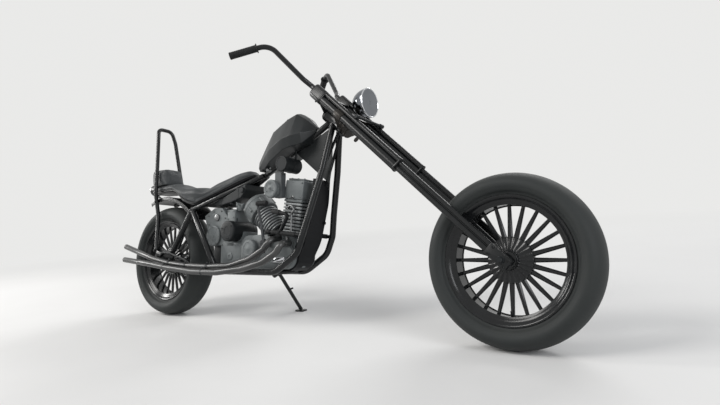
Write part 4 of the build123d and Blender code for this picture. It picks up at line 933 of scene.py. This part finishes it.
# Cylinders: dark cores, fins, heads with screws, and plugs
for name, tilt, foot in (("front", radians(8), Vector((1045, 0, 465))), ("rear", radians(-49), Vector((918, 0, 470)))):
    up, along = Vector((sin(tilt), 0, cos(tilt))), Vector((cos(tilt), 0, -sin(tilt)))
    base = foot + up * 153
    core, fins, head, plugs = Shape(), Shape(), Shape(), Shape()
    if name == "front":
        plate(core, oblong((-57, 57), (-62, 62), 12), -10, 152.9, foot, along, LEFT)
        for at in range(0, 153, 17):
            plate(fins, oblong((-63, 63), (-68, 68), 11), at, at + 10.5, foot, along, LEFT, 1.4)
        for low, high, half, deep, edge, r in ((0, 12, 60, 66, 1.5, 2), (11, 15, 56, 62, 1, 1.5),
                                               (14, 108, 62, 68, 5, 6), (107, 118, 53, 58, 2.5, 3)):
            plate(head, oblong((-half, half), (low, high), r, 8), -deep, deep, base, along, up, edge)
        for a in (-42, 0, 42):
            for y in (-44, 44):
                head.cap_screw(base + along * a + up * 117 + LEFT * y, up, 4.6, 4)
        for a, b in ((-50, 26), (50, 26), (-50, 96), (50, 96)):
            for sign in (1, -1):
                head.cap_screw(base + along * a + up * b + LEFT * sign * 67, LEFT * sign, 4.4, 4)
    else:
        core.lathe([(-28, 20), (-28, 54), (152.9, 54), (152.9, 20)], foot, up, 96, closed=True)
        for at in range(0, 153, 17):
            fins.lathe([(at, 45), (at, 68.4), (at + 1.2, 69.6), (at + 5.6, 69.6), (at + 6.8, 68.4), (at + 6.8, 45)],
                       foot, up, 108, closed=True)
        head.lathe([(0, 40), (0, 78), (3, 81), (58, 82), (60, 80), (63, 80), (65, 82), (74, 81.6), (86, 77), (95, 68),
                    (100, 54), (102, 34), (102, 0.5)], base, up, 96)
        for a, b in ring_of((0, 0), 1, range(30, 390, 60)):
            spoke = along * a + LEFT * b
            head.cap_screw(base + spoke * 58 + up * 97, up, 6, 5)
            head.lathe([(20, 9), (56, 9), (57, 8)], base + spoke * 78, up, 16)
    for side in (-1, 1) if name == "front" else (1,):
        at = base + up * 22 + LEFT * side * 66
        plugs.lathe([(0, 8), (6, 8), (7, 6)], at, LEFT * side, 6)
        plugs.lathe([(6, 5), (16, 5), (17, 4), (22, 3.5), (23, 2)], at, LEFT * side, 16)
    piece(f"{name}_barrel_core", core, "engine_dark", angle=40)
    piece(f"{name}_barrel_fins", fins, "engine_grey", f"{name}_cylinder", finish="fin_metal", angle=40)
    piece(f"{name}_head_casting", head, "engine_grey", f"{name}_head")
    piece(f"{name}_spark_plugs", plugs, "steel")

rods = Shape()
for x, z, length in ((948, 415, 47), (1055, 398, 44)):
    rods.lathe([(0, 7), (1, 8.5), (length * 0.3, 8.5), (length * 0.34, 7), (length * 0.9, 7), (length * 0.92, 8.4),
                (length, 8.4), (length + 1, 7)], (x, -92, z), UP, 24)
rods.tube([(1072, -80, 452), (1072, -80, 556), (1094, -82, 574), (1070, -84, 600), (1044, -78, 584)], 6,
          (14, 12, 14), 18)
piece("pushrod_tubes", rods, "steel", angle=35)

# Canister, intake and carburettor
can = Shape()
can.lathe([(10, 30), (10, 37), (11.5, 38), (30, 38), (31, 37), (33, 37), (34, 38), (110, 38), (111, 36.8),
           (113, 36.8), (114, 38), (122, 38), (124.4, 36.6), (125, 34), (125, 33), (123.4, 31), (123.4, 0.5)],
          (1038, 0, 804), RIGHT, 84)
can.lathe([(52, 37), (52, 39.6), (64, 39.6), (64, 37)], (1038, 0, 804), RIGHT, 84, closed=True)
can.bolt((1038, -58, 843), UP, 9, 7)
can.tube([(1038, -17, 830), (1038, -17, 893)], 6, 0, 20)
can.tube([(1038, -110, 768), (1038, -110, 752)], 5, 0, 16)
piece("canister_can", can, "engine_dark", "coil_canister")
intake = Shape()
intake.box((966, 1012), (-95, -60), (640, 768))
intake.box((974, 1004), (-66, -8), (646, 700))
piece("intake_case", intake, "engine_grey", "intake_box", finish="intake_grey", bevel=4, steps=3, angle=38)
cleaner = Shape()
cleaner.lathe([(93, 38), (93, 44), (95, 46), (104, 46), (105, 44.6), (107, 44.6), (108, 46), (115, 46), (118, 44.4),
               (119.6, 41), (120, 36), (118.8, 34), (118.8, 15), (119.8, 13), (120, 0.5)], (958, 0, 686), RIGHT, 84)
cleaner.cap_screw((958, -119, 686), RIGHT, 7, 4)
cleaner.screws(ring_of((958, 686), 25, range(90, 450, 120)), -118.4, -1, 3.2, 3)
piece("air_cleaner_disc", cleaner, "engine_grey", "air_cleaner")
carb = Shape()
carb.lathe([(0, 10), (2, 15), (5, 16.5), (24, 16.5), (26, 18), (30, 18), (31, 16)], (668, -52, 594), UP, 36)
carb.lathe([(-26, 12), (-24, 15), (-20, 15), (-19, 12.5), (18, 12.5), (19, 15.5), (24, 15.5), (26, 14)],
           (670, -52, 624), (1, 0, -0.15), 36)
carb.tube([(682, -66, 626), (682, -84, 626), (668, -84, 640)], 3, 5, 12)
carb.bolt((660, -69, 606), RIGHT, 7, 4)
piece("carburettor", carb, "engine_grey")

# Oil tank under the seat, its top along the rails
RAIL_DEPTH = 30.8
oil = Shape().prism(((724, 706), (690, 664), (609, 643), (520, 632), (462, 636), (462, rail_top(462) - RAIL_DEPTH),
                     (724, rail_top(724) - RAIL_DEPTH)), -72, 72)
piece("oil_tank_shell", oil, "panel_black", "oil_tank", finish="engine_dark", bevel=9, steps=5, angle=20)
straps = Shape()
for x, low in ((520, 640), (660, 664)):
    for y in ((-73.2, -71.8), (71.8, 73.2)):
        straps.box((x - 9, x + 9), y, (low, rail_top(x) - RAIL_DEPTH + 2))
straps.bolt((600, -60, 641), -UP, 14, 6)
straps.lathe([(0, 15), (8, 15), (10, 13), (10, 0.5)], (700, -71, 706), RIGHT, 12)
piece("oil_tank_fittings", straps, "steel", finish="engine_dark", bevel=0.6, angle=35)

# Kick lever, foot rests and pedal
kick = Shape()
kick.tube([(924, -84, 408), (924, -120, 408)], 11, 0, 28)
kick.lathe([(107, 19), (108.5, 22), (130, 22), (132, 20), (132, 9), (130, 8), (130, 0.5)], (924, 0, 408), RIGHT, 40)
kick.tube([(924, -120, 412), (913, -120, 470), (872, -120, 615)], 7.6, 60, 24)
kick.bolt((934, -120, 424), (0.8, 0, 0.6), 9, 7)
piece("kick_arm", kick, "steel", "kick_lever", finish="dark_steel")
rubber = Shape().lathe([(0, 9), (1, 12), (4, 12.6)] + ribs(7, 64, 5.6, 12.7, 11.5, (1, 2.4, 3.4))
                       + [(68, 12.6), (71, 11.6), (72, 8)], (868, -120, 615), AHEAD, 32)
piece("kick_rubber", rubber, "grip_rubber")
rests, sleeves = Shape(), Shape()
for sign in (1, -1):
    front, back = Vector((1170, sign * 118, 446)), Vector((936, sign * 118, 472))
    rests.tube([front, back], 9, 0, 28)
    rests.tube([(954, sign * 78, 454), (954, sign * 118, 454)], 8, 0, 24)
    rests.lathe([(-12, 11), (-11, 12), (11, 12), (12, 11)], (954, sign * 118, 470), (-0.994, 0, 0.11), 28)
    sleeves.lathe([(34, 9), (35, 11.4)] + ribs(38, 182, 8, 11.7, 10.7, (1.2, 3, 4.2)) + [(188, 11.4), (189, 9)],
                  front, back - front, 32)
    rests.lathe([(2, 10.5), (3, 11.6), (16, 11.6), (17, 10.5)], front, back - front, 28)
rests.tube([(1034, -118, 466), (1088, -118, 549), (981, -118, 571)], 9.6, 16, 26)
rests.bolt((1034, -127, 466), RIGHT, 13, 6)
sleeves.lathe([(-4, 9), (-3, 12), (0, 13.2), (46, 13.2), (49, 12), (50, 9)], (983, -118, 570.6), (0.98, 0, -0.2), 32)
piece("foot_rest_bars", rests, "frame_black", "foot_controls", finish="panel_black")
piece("foot_rest_rubbers", sleeves, "grip_rubber")

# Exhaust pipes with open tails, clamps and hangers
for name, head, y, run in (
        ("rear_exhaust", (1000, -80, 440), -165, (
            (1012, 425), (968, 380), (872, 334), (724, 300), (550, 294), (377, 298), (205, 311), (53, 335),
            (-265, 413))),
        ("front_exhaust", (1064, -80, 412), -200, (
            (1122, 405), (1090, 364), (1003, 319), (854, 286), (665, 267), (472, 268), (228, 288), (26, 310),
            (-212, 332)))):
    *line, before, last = [Vector((x, y, z)) for x, z in run]
    way = (last - before).normalized()
    pipe = Shape()
    pipe.tube([head, *line, before, last - way * 8], 16, (30, 30, *[160] * 7), 40, 0.4)
    pipe.lathe([(-9, 16), (-1, 16), (0, 15.3), (0, 14.4), (-1, 13.8), (-70, 13.8), (-70, 0.5)], last, way, 40)
    piece(f"{name}_pipe", pipe, "exhaust_steel", name, angle=45)
clamps = Shape()


def clamp(at, way, radius=17.6, half=7):
    clamps.lathe([(-half, 15), (-half, radius), (half, radius), (half, 15)], at, way, 40, closed=True)
    clamps.bolt(Vector(at) + Vector((0, -4, radius + 2)), UP, 8, 6)


for x, rear_z, front_z, frame_z, rise in ((205, 311, 290.5, 306, -0.1), (552, 294, 267.6, 270.5, 0.06)):
    clamp((x, -165, rear_z), (1, 0, rise))
    clamp((x, -198.8, front_z), AHEAD, 17.2)
    clamps.tube([(x, -124, frame_z), (x, -150, rear_z - 2)], 5.5, 0, 16)
    clamps.tube([(x, -166, rear_z - 10), (x, -199, front_z + 2)], 5, 0, 16)
clamps.tube([(24, -121, 350), (78, -131, 376), (150, -137, 371), (300, -141, 334), (360, -146, 312)], 6.5,
            (40, 60, 90), 18, 1, flat=0.6, up=LEFT)
clamp((362, -165, 298.6), (1, 0, -0.03))
clamps.bolt((26, -126, 351), RIGHT, 11, 6)
piece("exhaust_clamps", clamps, "steel", finish="engine_dark")


# Drive chain and its front sprocket
def chain_path(a, b, r1, r2):
    """Closed loop round two circles: its length and a function of the distance along it."""
    gap = (b - a).length
    line = math.atan2(b.y - a.y, b.x - a.x)
    alpha = math.acos((r1 - r2) / gap)
    top, bottom = line + alpha, line - alpha
    straight = math.sqrt(gap ** 2 - (r1 - r2) ** 2)
    small, large = r2 * 2 * alpha, r1 * (2 * pi - 2 * alpha)
    total = 2 * straight + small + large

    def on(centre, r, angle):
        return centre + Vector((cos(angle), sin(angle))) * r

    def at(s):
        s %= total
        if s < straight:
            return on(a, r1, top).lerp(on(b, r2, top), s / straight)
        s -= straight
        if s < small:
            return on(b, r2, top - s / r2)
        s -= small
        if s < straight:
            return on(b, r2, bottom).lerp(on(a, r1, bottom), s / straight)
        return on(a, r1, bottom - (s - straight) / r1)

    return total, at


total, chain_at = chain_path(Vector((0, TYRE_R)), Vector((640, 396)), 107, 41)
links = 2 * round(total / CHAIN_PITCH / 2)
chain = Shape()
for k in range(links):
    p, q = chain_at(total * k / links), chain_at(total * (k + 1) / links)
    reach = (q - p).length
    u = Vector(((q - p).x, 0, (q - p).y)).normalized()
    start = Vector((p.x, CHAIN_Y, p.y))
    outline = [((reach if cos(a) > 0 else 0) + 6.4 * cos(a), 6.4 * sin(a)) for a in turns(24)]
    outline.insert(18, (reach / 2, -4.6))
    outline.insert(6, (reach / 2, 4.6))
    near = 4.3 if k % 2 else 3.0
    for low, high in ((near, near + 1.1), (-near - 1.1, -near)):
        chain.prism(outline, low, high, start, u, Vector((-u.z, 0, u.x)))
    chain.lathe([(-2.9, 4.2), (2.9, 4.2)], start, LEFT, 14)
    chain.lathe([(-5.8, 2.1), (5.8, 2.1)], start, LEFT, 10)
piece("drive_chain_links", chain, "steel", "drive_chain", angle=30)
small = Shape()
toothed(small, Vector((640, 0, 396)), 16, 34.4, 29.5, 12, CHAIN_Y - 2.5, CHAIN_Y + 2.5)
small.lathe([(74, 20), (88, 20), (89, 24), (93, 24), (94, 22), (94, 16), (99, 15), (99, 0.5)], (640, 0, 396), LEFT, 40)
piece("drive_sprocket_teeth", small, "steel", "drive_sprocket", angle=30)

# Side stand
FOOT = Vector((800, 300, 40.8))
leg_end = FOOT + UP * 9
leg_way = (leg_end - HINGE).normalized()
stand = Shape()
stand.tube([HINGE + leg_way * 14, leg_end], 10, 0, 30)
stand.lathe([(-13, 7.1), (-13, 16), (-12, 17), (12, 17), (13, 16), (13, 7.1)], HINGE, HINGE_AXIS, 44, closed=True)
for distance in (19, -3):
    bead(stand, HINGE, leg_end, distance, 10)
plate(stand, oblong((-32, 32), (-23, 23), 12, 6), 0.2, 7.6, FOOT, AHEAD, Vector((0, cos(LEAN), sin(LEAN))), 1.5)
stand.tube([HINGE + leg_way * 120, HINGE + leg_way * 120 + Vector((26, 4, 8))], 5, 0, 16)
piece("side_stand_leg", stand, "frame_black", "side_stand", "side_stand", angle=35)

# Camera at the photograph's angle, in the machine's own upright frame
YAW = 0.619
PITCH = 0.117
cam_data = bpy.data.cameras.new("camera")
cam_data.sensor_width = 36
cam_data.lens = 24.45
cam_data.clip_start = 0.05
cam_data.clip_end = 100
camera = bpy.data.objects.new("camera", cam_data)
scene.collection.objects.link(camera)
scene.camera = camera
view = Vector((-sin(YAW) * cos(PITCH), cos(YAW) * cos(PITCH), sin(PITCH)))
rightward = Vector((cos(YAW), sin(YAW), 0))
spin = Matrix((rightward, rightward.cross(view), -view)).transposed().to_4x4()
camera.matrix_world = Matrix.Translation(PLACE @ Vector((2734.7, -1833.8, 330.3))) @ PARK.to_3x3().to_4x4() @ spin

# Backdrop, floor and lamps
scene.view_settings.view_transform = "Standard"
PALE = (0.82, 0.82, 0.81, 1)


def seen_rays(tree):
    """1 for rays from the camera, also by way of a reflection or glass."""
    rays = tree.nodes.new("ShaderNodeLightPath").outputs
    seen = rays["Is Camera Ray"]
    for kind in ("Is Glossy Ray", "Is Transmission Ray"):
        seen = add(tree, "Math", "Value", {0: seen, 1: rays[kind]}, operation="MAXIMUM")
    return seen


world = bpy.data.worlds.new("studio")
scene.world = world
world.use_nodes = True
sky = world.node_tree
sky.nodes.clear()
lit = add(sky, "Background", "Background", {"Color": (0.95, 0.97, 1.0, 1), "Strength": 0.42})
shown = add(sky, "Background", "Background", {"Color": PALE})
both = add(sky, "MixShader", "Shader", {"Fac": seen_rays(sky), 1: lit, 2: shown})
sky.links.new(both, sky.nodes.new("ShaderNodeOutputWorld").inputs["Surface"])

# The floor fades into the backdrop with distance, as it is seen; it takes light as plain paper
REACH = 60
floor_mesh = bpy.data.meshes.new("floor")
floor_mesh.from_pydata([(-REACH, -REACH, 0), (REACH, -REACH, 0), (REACH, REACH, 0), (-REACH, REACH, 0)], [],
                       [(0, 1, 2, 3)])
floor = bpy.data.objects.new("floor", floor_mesh)
scene.collection.objects.link(floor)
paper = coloured("floor_paper", (0.72, 0.715, 0.705), (0.76, 0.755, 0.745), 0.8, bump=0.03, grain=60, blotch=0.6)
floor_mesh.materials.append(paper)
ground = paper.node_tree
far = add(ground, "Emission", "Emission", {"Color": PALE})
distance = add(ground, "VectorMath", "Value", {0: add(ground, "TexCoord", "Object", {})}, operation="LENGTH")
fade = add(ground, "MapRange", "Result", {"Value": distance, "From Min": 1.6, "From Max": 9},
           interpolation_type="SMOOTHSTEP")
gate = add(ground, "Math", "Value", {0: fade, 1: seen_rays(ground)}, operation="MULTIPLY")
blend = add(ground, "MixShader", "Shader", {"Fac": gate, 1: ground.nodes["Principled BSDF"].outputs["BSDF"], 2: far})
ground.links.new(blend, ground.nodes["Material Output"].inputs["Surface"])

for name, at, aim, size, power, colour in (
        ("key", (-4.4, -6.4, 6.8), (0, 0, 0.5), (4.2, 3.2), 480, (1, 0.985, 0.96)),
        ("fill", (8.2, -3.4, 3.8), (0.2, 0, 0.5), (3.2, 4.5), 300, (0.95, 0.97, 1)),
        ("back", (1.0, 7.6, 6.4), (0, 0, 0.6), (6.4, 2.4), 300, (1, 1, 1)),
        ("rim", (-7.0, -2.6, 3.0), (-0.9, 0, 0.6), (1.0, 2.6), 190, (1, 0.99, 0.97))):
    data = bpy.data.lights.new(name, "AREA")
    data.shape = "RECTANGLE"
    data.size, data.size_y = size
    data.energy = power
    data.color = colour
    lamp = bpy.data.objects.new(name, data)
    scene.collection.objects.link(lamp)
    lamp.location = at
    lamp.rotation_mode = "QUATERNION"
    lamp.rotation_quaternion = (Vector(aim) - Vector(at)).to_track_quat("-Z", "Y")
